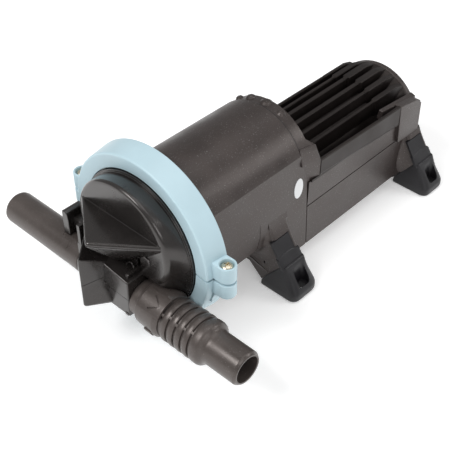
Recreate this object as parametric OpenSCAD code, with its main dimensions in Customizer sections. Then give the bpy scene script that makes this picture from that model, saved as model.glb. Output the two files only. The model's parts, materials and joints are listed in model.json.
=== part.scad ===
// Electric diaphragm pump for bilge and grey water.
// X runs across the pump towards the outlet, Y along it from the head to the motor, Z up.
// The origin is the centre of the four foot slots, on the surface that the feet stand on.

/* [Mounting] */
// Height of the pump axis above the mounting surface
axis_h = 76; // [74:1:90]
// Distance between the foot slots across the pump
slot_span_x = 125; // [118:1:135]
// Distance between the foot slots along the pump
slot_span_y = 171; // [165:1:190]
// Width of each foot slot
slot_w = 7; // [5:0.5:8]
// End-to-end length of each foot slot
slot_len = 13; // [9:0.5:15]
// Front face of the clamp ring ahead of the front slots
head_reach = 97; // [95:1:110]

/* [Clamp ring] */
// Radius of the opening in the ring's front wall
ring_bore_r = 52.5; // [50:0.5:54]
// Radius of the ring over its front ridge
ring_front_r = 63.9; // [63:0.1:66]
// Radius of the ring at its back edge
ring_back_r = 65.9; // [65:0.1:70]
// Depth of the ring along the pump
ring_depth = 18.2; // [17:0.1:22]
// Gap between the ring's two halves
ring_split = 1.6; // [1:0.1:3]
// Distance of each clamp screw from the centre plane
lug_x = 70.6; // [70:0.1:76]
// Radius of each lug's rounded end
lug_r = 6.6; // [6.4:0.1:8]
// Height of each upper half lug
lug_h = 13; // [11:0.5:16]
// Diameter of the clamp screws
clamp_d = 5; // [4:0.5:5]

/* [Pump head] */
// Outer radius of the head flange inside the ring
flange_r = 60.5; // [59:0.1:61]
// Thickness of the head flange
head_flange_t = 3.8; // [3:0.1:4]
// Radius of the dome where it leaves the flange
dome_base_r = 50; // [48:0.5:50]
// Radius of the dome's front edge
dome_front_r = 42.8; // [38:0.1:44]
// Rise of the dome's front edge above the pump axis
dome_rise = 9.9; // [6:0.1:10]
// Distance of the dome's front face ahead of the ring
dome_depth = 15.3; // [13:0.1:18]
// Thickness of the dome wall
dome_wall = 3.5; // [2.5:0.1:4]
// Height of the prow deck above the pump axis
deck_z = 24.7; // [20:0.1:28]
// Half width of the prow deck at the dome face
deck_half_w = 39.3; // [34:0.1:40]
// Distance of the prow's point ahead of the ring
prow_reach = 45; // [42:0.5:50]

/* [Ports] */
// Distance of the port axis ahead of the ring
port_out = 17.2; // [16.5:0.1:20]
// Distance of the port axis below the pump axis
port_drop = 28.8; // [27:0.1:31]
// Outer diameter of the outlet tail
tail_d = 25; // [24:0.1:26]
// Outer diameter of the inlet tail
inlet_d = 25.5; // [25:0.1:26.5]
// Bore of the hose tails
tail_bore = 19; // [17:0.5:20]
// Reach of the outlet tail from the centre plane
outlet_reach = 115; // [112:1:130]
// Reach of the inlet tail from the centre plane
inlet_reach = 116; // [100:1:130]
// Radius of the flow passages in the head
duct_r = 9.2; // [8.5:0.1:9.3]
// Thickness of the flap valves
flap_t = 1.5; // [1:0.1:2]

/* [Gear housing] */
// Radius of the rounded top of the body
crown_r = 43.8; // [42:0.1:46]
// Rise of the crown's centre above the pump axis
crown_rise = 5; // [3:0.5:6]
// Half width of the body where the crown meets the side walls
shoulder_x = 40; // [39:0.1:41]
// Half width of the body at its underside
base_x = 44; // [43:0.1:46]
// Depth of the body's underside below the pump axis
belly_drop = 63.5; // [62:0.5:68]
// Wall thickness of the body mouldings
wall = 3; // [2.5:0.1:3.2]
// Back face of the gear housing behind the front slots
gear_overhang = 24; // [22:1:26]

/* [Motor end] */
// Distance of the motor axis below the pump axis
motor_drop = 25; // [25:1:25]
// Back face of the motor housing behind the rear slots
motor_overhang = 8; // [6:1:12]
// Radius of the motor can
can_r = 31; // [29:0.5:31]
// Radius over the cooling fins
fin_r = 42; // [41:0.1:43]
// Radius of the cover's closed rear end
cover_end_r = 43.4; // [43:0.1:44]
// Radius of the cover between the fins
cover_r = 36.8; // [35.5:0.1:38]
// Thickness of the cover's arch
cover_wall = 2.2; // [1.8:0.1:2.4]
// Thickness of each cooling fin
fin_t = 3.2; // [2:0.1:4]
// Angle about the motor axis from one cooling fin to the next
fin_turn = 14.8; // [12:0.1:16]
// Number of cooling fins
fin_count = 6; // [4:2:6]

/* [Drive] */
// Module of the worm wheel
gear_m = 1.25; // [1.25:0.05:1.25]
// Number of teeth on the worm wheel
wheel_teeth = 30; // [30:1:30]
// Throw of the eccentric
throw = 4.5; // [3:0.5:5]
// Wheel axis behind the ring
crank_back = 66; // [64:1:70]
// Radius of the eccentric discs
ecc_r = 11; // [10:0.5:12]
// Radius of the motor shaft
shaft_r = 3; // [2.5:0.5:3]
// Radial running clearance of the shafts
run = 0.03; // [0.02:0.01:0.08]

/* [Feet] */
// Height of each rubber foot
foot_h = 26; // [22:1:30]
// Outer end of each foot beyond its slot centre
foot_toe = 9; // [8:0.5:12]
// Half length of each foot along the pump
foot_half = 15; // [14.5:0.5:18]

/* [Hidden] */
$fn = 96;
HULL_FN = 32;

// Clearances
snug = 0.15;          // between parts that are pushed together
slip = 0.3;           // between parts that turn or are soft
eps = 0.01;           // overlap of solids that are joined
far = 200;            // larger than any part

// Reference planes
ring_y = -(slot_span_y / 2 + head_reach);
front_slot_y = -slot_span_y / 2;
rear_slot_y = slot_span_y / 2;
motor_h = axis_h - motor_drop;
gear_back = head_reach + gear_overhang;
gasket_t = 1;
rim_len = 10;
rim_back = gear_back + gasket_t + rim_len;
motor_back = head_reach + slot_span_y + motor_overhang;

// Clamped stack behind the ring's front wall
ring_wall = 3.1;
head_flange_y = ring_wall + slip;
bead_y = head_flange_y + head_flange_t;
bead_t = 2.6;
housing_flange_y = bead_y + bead_t;
housing_flange_t = 4.4;
groove_back = housing_flange_y + housing_flange_t + slip;
groove_r = flange_r + 1.1;
neck_r = 56.5;

// Colours of the mouldings
warm_black = [0.23, 0.21, 0.20];
cool_black = [0.17, 0.17, 0.19];
pale_blue = [0.70, 0.82, 0.88];
zinc = [0.72, 0.68, 0.58];
steel = [0.62, 0.63, 0.65];
copper = [0.72, 0.42, 0.22];

// Places a shape drawn about the pump axis, with its Z along the pump
module on_pump_axis(back) {
    translate([0, ring_y + back, axis_h]) rotate([-90, 0, 0]) children();
}

// Places a shape drawn about the motor axis, with its Z along the pump
module on_motor_axis(back) {
    translate([0, ring_y + back, motor_h]) rotate([-90, 0, 0]) children();
}

// Extrudes an outline drawn in X and Z along the pump, from the ring backwards
module along_pump(back, length) {
    translate([0, ring_y + back + length, axis_h]) rotate([90, 0, 0])
        linear_extrude(length) children();
}

// Places a shape drawn along +Z on the port axis, so that it runs towards +X from x
module on_port_axis(x) {
    translate([x, ring_y - port_out, axis_h - port_drop]) rotate([0, 90, 0]) children();
}

// Places a shape drawn along +Z on the wheel axis, so that it runs towards +X from x
module on_wheel_axis(x, lead = 0) {
    translate([x, ring_y + crank_back - lead, axis_h]) rotate([0, 90, 0]) children();
}

// Repeats a shape on the left of the pump
module both_sides() {
    children();
    mirror([1, 0, 0]) children();
}

// A tube about Z
module tube(outer, inner, length) {
    difference() {
        cylinder(r = outer, h = length);
        translate([0, 0, -1]) cylinder(r = inner, h = length + 2);
    }
}

// A box given by its lowest and highest corners, ahead of or behind the ring plane
module block(x, y, z) {
    translate([x[0], ring_y + y[0], axis_h + z[0]]) cube([x[1] - x[0], y[1] - y[0], z[1] - z[0]]);
}

// ---------------------------------------------------------------- clamp ring

ridge = 1;            // rounding of the front ridge, drawn as a chamfer
ring_dish = 0.9;      // how far the front wall falls back to its opening
lug_y = ring_depth / 2 + 2.4;
low_lug_h = lug_h - 1.2;  // the lower half lugs are a little shorter
lug_head_r = 5;       // counterbore for the clamp screw's head
lug_head_h = 3.4;
clamp_nut_r = 4.6;
clamp_nut_h = 4;

module ring_section() {
    polygon([[ring_bore_r, ring_dish], [ring_front_r - ridge, 0], [ring_front_r, ridge],
             [ring_back_r, ring_depth - ridge / 2], [ring_back_r - ridge / 2, ring_depth],
             [neck_r + 1, ring_depth], [neck_r + 1, groove_back], [groove_r, groove_back],
             [groove_r, ring_wall], [ring_bore_r, ring_wall]]);
}

module ring_body() {
    on_pump_axis(0) rotate_extrude() ring_section();
}

// One half lug, from z up by h
module half_lug(z, h) {
    difference() {
        translate([0, ring_y + lug_y, axis_h + z]) union() {
            translate([lug_x, 0, 0]) cylinder(r = lug_r, h = h);
            translate([groove_r - 6, -lug_r, 0]) cube([lug_x - groove_r + 6, 2 * lug_r, h]);
        }
        on_pump_axis(-1) cylinder(r = groove_r + 1.6, h = ring_depth + 2);
        translate([lug_x, ring_y + lug_y, axis_h + z - 1])
            cylinder(d = clamp_d + 0.4, h = h + 2);
    }
}

module ring_half(z) {
    intersection() {
        ring_body();
        translate([-far / 2, ring_y - 1, axis_h + z]) cube([far, ring_depth + 2, far / 2]);
    }
}

module clamp_ring_upper() {
    color(pale_blue) difference() {
        union() {
            ring_half(ring_split / 2);
            both_sides() half_lug(ring_split / 2, lug_h);
        }
        both_sides() translate([lug_x, ring_y + lug_y, axis_h + ring_split / 2 + lug_h - lug_head_h])
            cylinder(r = lug_head_r, h = lug_head_h + 1);
    }
}

module clamp_ring_lower() {
    color(pale_blue) difference() {
        union() {
            ring_half(-ring_split / 2 - far / 2);
            both_sides() half_lug(-ring_split / 2 - low_lug_h, low_lug_h);
        }
        both_sides() translate([lug_x, ring_y + lug_y, axis_h - ring_split / 2 - low_lug_h - 1])
            cylinder(r = clamp_nut_r + snug, h = clamp_nut_h + 1, $fn = 6);
    }
}

clamp_head_r = 4.2;
clamp_head_h = 2.6;

module pan_screw(d, head_r, head_h, length) {
    translate([0, 0, -length]) cylinder(d = d, h = length + eps);
    difference() {
        rotate_extrude() polygon([[0, 0], [head_r, 0], [head_r, head_h * 0.5],
                                  [head_r * 0.75, head_h * 0.88], [head_r * 0.4, head_h], [0, head_h]]);
        for (turn = [0, 90]) rotate(turn)
            translate([-head_r * 0.55, -head_r * 0.12, head_h * 0.45])
                cube([head_r * 1.1, head_r * 0.24, head_h]);
    }
}

module clamp_screws() {
    seat = ring_split / 2 + lug_h - lug_head_h;
    color(zinc) both_sides() translate([lug_x, ring_y + lug_y, axis_h + seat])
        pan_screw(clamp_d, clamp_head_r, clamp_head_h, seat + ring_split / 2 + low_lug_h - 0.5);
}

module clamp_nuts() {
    color(zinc) both_sides() translate([lug_x, ring_y + lug_y, axis_h - ring_split / 2 - low_lug_h])
        difference() {
            cylinder(r = clamp_nut_r, h = clamp_nut_h, $fn = 6);
            translate([0, 0, -1]) cylinder(r = clamp_d / 2 + 0.04, h = clamp_nut_h + 2);
        }
}

// ---------------------------------------------------------------- pump head

deck_t = 4;
box_x = 20.5;                       // right face of the outlet valve box
box_front = 30.5;                   // front face of the valve boxes, ahead of the ring
box_top = port_drop - duct_r - 11.2;
box_bottom = port_drop + duct_r + 1.6;
box_back = 5;
inlet_x = 34;                       // left end of the inlet boss
hose_grip = 36;                     // end of the inlet tail that a hose is pushed onto
chamber_wall_x = -9.5;              // wall between the inlet and outlet passages
clip_t = 2.4;
chamber_r = dome_base_r - 4.5;
collar_r = 17.2;
port_hole_r = 4.8;
port_wall = 1.8;
outlet_clip_x = 15;
inlet_clip_x = -31.4;
clip_half = 10;
clip_top = 5;                       // clips stand this far below the pump axis
outlet_port_x = -3;
inlet_port_x = -16;

// Slice of the prow, with its point ahead of the ring
module prow_slice(point, z, t) {
    half = (point - dome_depth) * deck_half_w / (prow_reach - dome_depth);
    translate([0, ring_y, axis_h + z]) linear_extrude(t)
        polygon([[0, -point], [half, -dome_depth], [half, -dome_depth + 1],
                 [-half, -dome_depth + 1], [-half, -dome_depth]]);
}

module prow() {
    hull() {
        prow_slice(prow_reach, deck_z - deck_t, deck_t);
        prow_slice(prow_reach - 2.6, deck_z - 17, 1);
        prow_slice(dome_depth + 4, -box_top, 1);
    }
}

// Upright block under the prow that holds the inlet valve
module keel() {
    translate([0, ring_y, axis_h - box_bottom]) linear_extrude(box_bottom + 7.5)
        polygon([[-6.6, -47.5], [2.5, -33.7], [9.5, -23], [9.5, -box_back],
                 [-31, -box_back], [-31, -18], [-22, -29]]);
}

module dome(base_r, front_r, from, to, rise) {
    hull() {
        on_pump_axis(from) cylinder(r = base_r, h = 0.5, $fn = 72);
        translate([0, 0, rise]) on_pump_axis(to) cylinder(r = front_r, h = 0.5, $fn = 72);
    }
}

// Slot that a port clip slides into from above
module clip_slot(x, gap) {
    block([x - gap, x + clip_t + gap], [-port_out - clip_half - gap, -port_out + clip_half + gap],
          [-port_drop - 3 - gap, 10]);
}

module pump_head() {
    color(cool_black) difference() {
        union() {
            on_pump_axis(head_flange_y) cylinder(r = flange_r, h = head_flange_t);
            on_pump_axis(-1.2) cylinder(r = ring_bore_r - 0.6, h = head_flange_y + 1.2 + eps);
            dome(dome_base_r, dome_front_r, -1.2, -dome_depth, dome_rise);
            prow();
            keel();
            block([-2, box_x], [-box_front, -box_back], [-box_bottom, -box_top]);
            block([8, box_x - 0.3], [-14.5, -1.5], [-24, -4.8]);
            on_port_axis(-inlet_x) cylinder(r = inlet_d / 2 + 0.4, h = 14);
        }
        // pumping chamber behind the dome, kept clear of the nozzles
        difference() {
            union() {
                dome(chamber_r, dome_front_r - dome_wall, bead_y + 1, -dome_depth + dome_wall,
                     dome_rise);
                on_pump_axis(0) cylinder(r = chamber_r, h = bead_y + 1);
            }
            on_port_axis(-far / 2) cylinder(r = collar_r + 0.5 + port_wall, h = far);
        }
        // room for the nozzles beside the dome
        on_port_axis(box_x + 0.2) cylinder(r = collar_r + 0.5, h = far);
        on_port_axis(-inlet_x - 0.2 - far) cylinder(r = inlet_d / 2 + 0.7, h = far);
        // outlet passage and its port from the chamber
        on_port_axis(chamber_wall_x + 1.5) cylinder(r = duct_r, h = far);
        translate([outlet_port_x, ring_y - port_out, axis_h - port_drop + 3])
            rotate([-90, 0, 0]) cylinder(r = port_hole_r, h = port_out + 5);
        // inlet passage and its port into the chamber
        on_port_axis(-far) cylinder(r = duct_r, h = far + chamber_wall_x);
        translate([inlet_port_x, ring_y - port_out, axis_h - port_drop + 3])
            rotate([-90, 0, 0]) cylinder(r = port_hole_r, h = port_out + 5);
        clip_slot(outlet_clip_x, snug);
        clip_slot(inlet_clip_x, snug);
    }
}

// Clip that drops over the groove in a nozzle's plug
module port_clip(x) {
    difference() {
        block([x, x + clip_t], [-port_out - clip_half, -port_out + clip_half],
              [-port_drop - 3, -clip_top]);
        block([x - 1, x + clip_t + 1], [-port_out - duct_r + 0.8, -port_out + duct_r - 0.8],
              [-port_drop - 4, -port_drop]);
        on_port_axis(x - 1) cylinder(r = duct_r - 0.8, h = clip_t + 2);
        // finger notch between the two prongs
        block([x - 1, x + clip_t + 1], [-port_out - 3, -port_out + 3], [-clip_top - 3, 0]);
    }
}

module outlet_clip() {
    color(cool_black) port_clip(outlet_clip_x);
}

module inlet_clip() {
    color(cool_black) port_clip(inlet_clip_x);
}

// Half section of a plug that fits the passage and carries the clip's groove
plug_r = duct_r - snug;
groove_plug_r = duct_r - 1;
bore_r = tail_bore / 2;
plug_bore_r = 6.6;

bellows_x = 50.6;     // first groove of the bellows
bellows_pitch = 6.5;
bellows_count = 5;
bellows_r = 16.2;
groove_depth = 1.3;

// Outlet nozzle from its plug to the rolled end of its tail, as radius against X
module outlet_section() {
    tail_r = tail_d / 2;
    plug = [[plug_bore_r, 14], [plug_r, 14], [plug_r, outlet_clip_x - snug],
            [groove_plug_r, outlet_clip_x - snug], [groove_plug_r, outlet_clip_x + clip_t + snug],
            [plug_r, outlet_clip_x + clip_t + snug], [plug_r, box_x + 0.2]];
    collar = [[13.4, box_x + 0.2], [13.4, 27.5], [15.8, 28.2], [collar_r, 45], [collar_r - 0.3, 48.4],
              [15.4, 49.2]];
    bellows = [for (i = [0 : bellows_count - 1]) let (x = bellows_x + i * bellows_pitch)
        each [[bellows_r - groove_depth, x - 0.5], [bellows_r - groove_depth, x + 0.5],
              [bellows_r - 0.2, x + 1.4], [bellows_r, x + 3.2], [bellows_r - 0.2, x + 5]]];
    tail = [[bellows_r, 83], [15.4, 85], [tail_r + 0.9, 87], [tail_r, 88.4],
            [tail_r, outlet_reach - 2], [tail_r - 1.6, outlet_reach], [bore_r, outlet_reach],
            [bore_r, 40], [plug_bore_r, 24]];
    polygon(concat(plug, collar, bellows, tail));
}

module outlet_nozzle() {
    color(warm_black) on_port_axis(0) rotate_extrude() outlet_section();
}

module inlet_nozzle() {
    tail_r = inlet_d / 2;
    neck = tail_r + 0.25;
    grip_x = inlet_reach - hose_grip;
    plug_end = -inlet_clip_x - clip_t - 2;
    color(warm_black) on_port_axis(0) mirror([0, 0, 1]) rotate_extrude()
        polygon([[plug_bore_r, plug_end], [plug_r, plug_end], [plug_r, -inlet_clip_x - clip_t - snug],
                 [groove_plug_r, -inlet_clip_x - clip_t - snug], [groove_plug_r, -inlet_clip_x + snug],
                 [plug_r, -inlet_clip_x + snug], [plug_r, inlet_x + 0.2], [neck, inlet_x + 0.2],
                 [neck, grip_x - 1], [tail_r, grip_x],
                 [tail_r, inlet_reach - 2.5], [tail_r - 0.8, inlet_reach - 0.7],
                 [tail_r - 1.8, inlet_reach], [bore_r, inlet_reach], [bore_r, 46],
                 [plug_bore_r, 38]]);
}

// ---------------------------------------------------------------- flap valves

seat_t = 2.4;
seat_hole_r = 6;
flap_r = 7.6;
outlet_seat_x = 3.2;
inlet_seat_x = -26.4;
hinge_r = 0.8;
hinge_rise = flap_r + 0.2;

module valve_seat(x) {
    on_port_axis(x) tube(duct_r - snug, seat_hole_r, seat_t);
}

// Weighted rubber flap that hangs in front of its seat and opens towards +X
module valve_flap(x) {
    on_port_axis(x + seat_t + 0.1) {
        cylinder(r = flap_r, h = flap_t);
        cylinder(r = flap_r * 0.55, h = flap_t + 1);
    }
    translate([x + seat_t + 0.1 + hinge_r, ring_y - port_out - 3, axis_h - port_drop + hinge_rise])
        rotate([-90, 0, 0]) cylinder(r = hinge_r, h = 6);
}

module inlet_seat() {
    color(warm_black) valve_seat(inlet_seat_x);
}

module outlet_seat() {
    color(warm_black) valve_seat(outlet_seat_x);
}

module inlet_flap() {
    color(cool_black) valve_flap(inlet_seat_x);
}

module outlet_flap() {
    color(cool_black) valve_flap(outlet_seat_x);
}

// ---------------------------------------------------------------- diaphragm and rod

plate_r = 24;
plate_t = 3;
sheet_t = 3;
hub_y = 6;                          // front face of the diaphragm's clamped centre
hub_screw_r = 3;
stem_r = 7;
rod_gap = 7.5;                      // inner face of each rod cheek from the centre plane
rod_t = 5;
bearing_t = 2;
rod_bore_r = ecc_r + bearing_t;
cheek_r = rod_bore_r + 4;
bridge_front = 26;
bridge_back = 34;

module diaphragm() {
    color(cool_black) on_pump_axis(0) rotate_extrude()
        polygon([[hub_screw_r + snug, hub_y], [plate_r - 1, hub_y], [plate_r + 5, hub_y - 3],
                 [plate_r + 10, hub_y - 3], [flange_r - 15, bead_y + 0.4], [flange_r - 13, bead_y],
                 [flange_r - 0.5, bead_y], [flange_r - 0.5, bead_y + bead_t],
                 [flange_r - 16, bead_y + bead_t], [plate_r + 11, hub_y], [plate_r + 5, hub_y],
                 [plate_r, hub_y + sheet_t], [hub_screw_r + snug, hub_y + sheet_t]]);
}

module front_plate() {
    color(warm_black) on_pump_axis(hub_y - plate_t) tube(plate_r - 3, hub_screw_r + snug, plate_t);
}

module rear_plate() {
    color(steel) on_pump_axis(hub_y + sheet_t) tube(plate_r - 3, hub_screw_r + snug, plate_t);
}

module diaphragm_screw() {
    color(steel) on_pump_axis(hub_y - plate_t) rotate([180, 0, 0])
        pan_screw(2 * hub_screw_r, 6, 3, plate_t + sheet_t + plate_t + 9);
}

module connecting_rod() {
    back = crank_back - throw;
    color(warm_black) difference() {
        union() {
            on_pump_axis(hub_y + sheet_t + plate_t) cylinder(r = stem_r, h = bridge_front - hub_y - 5);
            block([-rod_gap - rod_t, rod_gap + rod_t], [bridge_front, bridge_back], [-stem_r, stem_r]);
            both_sides() {
                block([rod_gap, rod_gap + rod_t], [bridge_front, back], [-stem_r, stem_r]);
                on_wheel_axis(rod_gap, throw) cylinder(r = cheek_r, h = rod_t);
            }
        }
        both_sides() on_wheel_axis(rod_gap - 1, throw) cylinder(r = rod_bore_r, h = rod_t + 2);
        on_pump_axis(0) cylinder(r = hub_screw_r + 0.02, h = hub_y + sheet_t + plate_t + 9.5);
    }
}

module rod_bearings() {
    color(steel) both_sides() on_wheel_axis(rod_gap, throw) tube(rod_bore_r, ecc_r + run, rod_t);
}

// ---------------------------------------------------------------- worm drive

pitch_r = gear_m * wheel_teeth / 2;
lead = PI * gear_m;
worm_pitch_r = motor_drop - pitch_r;
thread_wave = 1.05;                 // half the depth of the worm's thread
wheel_tip_r = pitch_r + 0.65;
wheel_root_r = pitch_r - 1.35;
wheel_half_w = 4;
worm_turns = 6;
worm_back = crank_back - worm_turns * lead / 2;
journal_r = 4;
hub_r = 5;
bush_r = 6.5;
bush_in = 27;                       // inner face of each wheel bush from the centre plane
bush_len = 9;

module tooth() {
    polygon([[-1.15, wheel_root_r - 0.5], [1.15, wheel_root_r - 0.5], [1.05, wheel_root_r],
             [0.35, wheel_tip_r], [-0.35, wheel_tip_r], [-1.05, wheel_root_r]]);
}

// One tooth points straight down at a gap in the worm's thread
module worm_wheel() {
    color([0.85, 0.83, 0.76]) on_wheel_axis(-wheel_half_w) difference() {
        linear_extrude(2 * wheel_half_w) union() {
            circle(r = wheel_root_r);
            for (i = [0 : wheel_teeth - 1]) rotate(i * 360 / wheel_teeth + 90) tooth();
        }
        translate([0, 0, -1]) cylinder(r = hub_r, h = 2 * wheel_half_w + 2);
    }
}

module eccentric_shaft() {
    ecc_in = rod_gap - 0.4;
    ecc_out = rod_gap + rod_t + 0.4;
    color(steel) union() {
        on_wheel_axis(-ecc_in) cylinder(r = hub_r, h = 2 * ecc_in);
        both_sides() {
            on_wheel_axis(ecc_in - eps, throw) cylinder(r = ecc_r, h = ecc_out - ecc_in);
            on_wheel_axis(ecc_out - 2 * eps) cylinder(r = journal_r, h = bush_in + bush_len - ecc_out);
        }
    }
}

module wheel_bushes() {
    color([0.72, 0.55, 0.30]) both_sides() on_wheel_axis(bush_in)
        tube(bush_r, journal_r + run, bush_len);
}

// Single-start thread: a circle set off centre and twisted once a lead
module worm() {
    color(steel) difference() {
        on_motor_axis(worm_back) linear_extrude(worm_turns * lead, twist = -360 * worm_turns,
                                                slices = 10 * worm_turns, $fn = 14)
            translate([0, thread_wave]) circle(r = worm_pitch_r - 0.05);
        on_motor_axis(worm_back - 1) cylinder(r = shaft_r + 0.02, h = worm_turns * lead + 2);
    }
}

// ---------------------------------------------------------------- motor

can_front = rim_back + 0.2;
can_back = motor_back - 36;
can_t = 2;
cap_t = 6;
core_r = 20;
core_front = can_front + 19.8;
core_back = can_back - 26;
shaft_front = 44;
shaft_back = can_back + cap_t - 1.5;
motor_bearing_r = 8;
commutator_r = 8;
commutator_front = can_back - 16;
magnet_in = core_r + 0.8;
magnet_out = can_r - can_t - snug;

module motor_shaft() {
    color(steel) on_motor_axis(shaft_front) cylinder(r = shaft_r, h = shaft_back - shaft_front);
}

module worm_bush() {
    color([0.72, 0.55, 0.30]) on_motor_axis(shaft_front - 1) tube(5.5, shaft_r + run, 5);
}

module armature_core() {
    color([0.35, 0.35, 0.37]) on_motor_axis(core_front) difference() {
        cylinder(r = core_r, h = core_back - core_front);
        translate([0, 0, -1]) cylinder(r = shaft_r + 0.02, h = far);
        for (i = [0 : 11]) rotate(i * 30) translate([core_r - 4, -1.2, -1]) cube([6, 2.4, far]);
    }
}

module windings() {
    end = 8;
    color(copper) for (at = [core_front - end, core_back]) on_motor_axis(at)
        tube(core_r - 1.2, shaft_r + 2, end);
}

module commutator() {
    color(copper) on_motor_axis(commutator_front) difference() {
        tube(commutator_r, shaft_r + 0.02, 12);
        for (i = [0 : 11]) rotate(i * 30) translate([commutator_r - 1, -0.25, 1]) cube([2, 0.5, 12]);
    }
}

module motor_can() {
    color(steel) on_motor_axis(can_front) difference() {
        cylinder(r = can_r, h = can_back - can_front);
        translate([0, 0, can_t]) cylinder(r = can_r - can_t, h = far);
        translate([0, 0, -1]) cylinder(r = shaft_r + 2, h = far);
    }
}

module magnets() {
    color([0.25, 0.25, 0.27]) on_motor_axis(core_front - 2) both_sides() intersection() {
        tube(magnet_out, magnet_in, core_back - core_front + 4);
        linear_extrude(far) polygon([[0, 0], [60, -70], [60, 70]]);
    }
}

module front_bearing() {
    color(steel) on_motor_axis(rim_back - 4) tube(motor_bearing_r, shaft_r + run, 4);
}

module rear_bearing() {
    color(steel) on_motor_axis(can_back + 0.5) tube(motor_bearing_r, shaft_r + run, 4.5);
}

module end_cap() {
    color(steel) on_motor_axis(can_back) difference() {
        cylinder(r = can_r, h = cap_t);
        translate([0, 0, -1]) cylinder(r = motor_bearing_r, h = 6);
    }
}

card_t = 2;
module brush_card() {
    color([0.45, 0.33, 0.20]) on_motor_axis(can_back - card_t) difference() {
        cylinder(r = can_r - can_t - snug, h = card_t);
        translate([0, 0, -1]) cylinder(r = commutator_r + 2, h = card_t + 2);
    }
}

module brushes() {
    start = commutator_front + 3;
    color([0.12, 0.12, 0.12]) both_sides() on_motor_axis(start)
        translate([commutator_r + 0.1, -2.5, 0]) cube([9, 5, can_back - card_t - start]);
}

// ---------------------------------------------------------------- body mouldings

seam_z = 27;                        // joint between the motor housing and the tray, below the axis
right_ledge = 5;                    // top of the motor housing's right wall, below the axis
left_ledge = 15;                    // top of its left wall
shoulder_z = crown_rise + sqrt(crown_r * crown_r - shoulder_x * shoulder_x);
wall_slope = (base_x - shoulder_x) / (shoulder_z + belly_drop);
drum_r = 52.5;                      // rounded underside of the gear housing's front
drum_drop = 3;
drum_back = 86;
side_x = 42;                        // half width of the motor housing at its top
screw_r = 1.8;
screw_grip = 10;                    // how far each housing screw reaches into its boss
screw_boss_r = 4.6;
high_screw = [34, 20];              // places of the housing screws from the pump axis
low_screw = [37, 7.5 - belly_drop];
tray_wall_back = gear_back + gasket_t + wall;

// Cuts or fills the places of the four housing screws, from back over length
module at_screws(back, r, length) {
    both_sides() for (p = [high_screw, low_screw])
        translate([p[0], ring_y + back, axis_h + p[1]]) rotate([-90, 0, 0]) cylinder(r = r, h = length);
}

// Cross-section of the body: rounded crown on tapering side walls, shrunk by an inset
module body_outline(inset = 0) {
    bottom_x = base_x - inset;
    top_x = bottom_x - wall_slope * (shoulder_z + 2 * crown_r + belly_drop);
    intersection() {
        polygon([[bottom_x, inset - belly_drop], [top_x, shoulder_z + 2 * crown_r],
                 [-top_x, shoulder_z + 2 * crown_r], [-bottom_x, inset - belly_drop]]);
        union() {
            translate([0, crown_rise]) circle(r = crown_r - inset);
            translate([-far / 2, crown_rise - far]) square([far, far]);
        }
    }
}

leg_foot_x = 54;                    // outer face of a leg where it meets its foot
leg_half = 13;
bracket_x = 45.4;                   // half width over the rear brackets
front_leg_top = axis_h - 14;
rear_leg_top = axis_h - seam_z - 0.1;
tongue_half = 8;
tongue_top = rear_leg_top - 5.9;
tongue_in = 45.6;

// Each leg's top: its height and its half width on the pump
front_leg = [front_leg_top, base_x - 1];
rear_leg = [rear_leg_top, bracket_x];

// Outer form of one leg, centred on y
module leg_form(y, top) {
    hull() {
        translate([leg_foot_x - 8, y, foot_h + slip]) union() {
            for (side = [-1, 1]) translate([0, side * (leg_half - 8), 0])
                cylinder(r = 8, h = 1, $fn = HULL_FN);
            translate([-10, -leg_half, 0]) cube([10, 2 * leg_half, 1]);
        }
        translate([top[1] - 7, y - leg_half + 3, top[0] - 1]) cube([7, 2 * leg_half - 6, 1]);
    }
}

// Leg with the pocket for the foot's tongue
module leg(y, top) {
    difference() {
        leg_form(y, top);
        translate([tongue_in - snug, y - tongue_half - snug, foot_h - 1])
            cube([30, 2 * (tongue_half + snug), tongue_top - foot_h + 1 + snug]);
    }
}

module gear_housing() {
    color(warm_black) difference() {
        union() {
            on_pump_axis(housing_flange_y) cylinder(r = flange_r, h = housing_flange_t);
            difference() {
                along_pump(housing_flange_y + 1, gear_back - housing_flange_y - 1) body_outline();
                // round the front below the shoulders
                along_pump(housing_flange_y, drum_back - housing_flange_y) difference() {
                    square(2 * far, center = true);
                    translate([0, -drum_drop]) circle(r = drum_r);
                }
            }
            both_sides() leg(front_slot_y, front_leg);
        }
        // space for the diaphragm, rod and gears
        on_pump_axis(housing_flange_y - 1) cylinder(r = plate_r + 12, h = 12);
        along_pump(housing_flange_y + 10, drum_back + wall - housing_flange_y - 9) intersection() {
            body_outline(wall);
            translate([0, -drum_drop]) circle(r = drum_r - wall);
        }
        along_pump(drum_back + wall, gear_back - drum_back - wall + 1) body_outline(wall);
    }
    color(warm_black) difference() {
        union() {
            at_screws(gear_back - screw_grip - 3, screw_boss_r, screw_grip + 3);
            both_sides() on_wheel_axis(bush_in) cylinder(r = bush_r + 3, h = shoulder_x - bush_in - 0.5);
            block([-8, 8], [shaft_front - 3, shaft_front + 4], [-drum_r - 1.5, -motor_drop + 8]);
        }
        both_sides() on_wheel_axis(bush_in - 1) cylinder(r = bush_r, h = bush_len + 1.2);
        on_motor_axis(shaft_front - 1.2) cylinder(r = 5.5, h = 10);
        on_motor_axis(shaft_front - 9) cylinder(r = shaft_r + 1, h = 10);
        at_screws(gear_back - screw_grip - 0.5, screw_r + 0.02, far);
    }
}

module housing_gasket() {
    color([0.1, 0.1, 0.1]) along_pump(gear_back, gasket_t) difference() {
        body_outline(0.6);
        body_outline(wall - 0.4);
    }
}

// Body outline above the seam between the motor housing and the tray
module above(z) {
    intersection() {
        children();
        translate([-far / 2, z]) square([far, far]);
    }
}

module below(z) {
    intersection() {
        children();
        translate([-far / 2, z - far]) square([far, far]);
    }
}

end_wall_t = 5;
bracket_z = 9;
bracket_front = motor_back - 33;
bracket_back = motor_back - 4;

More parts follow.
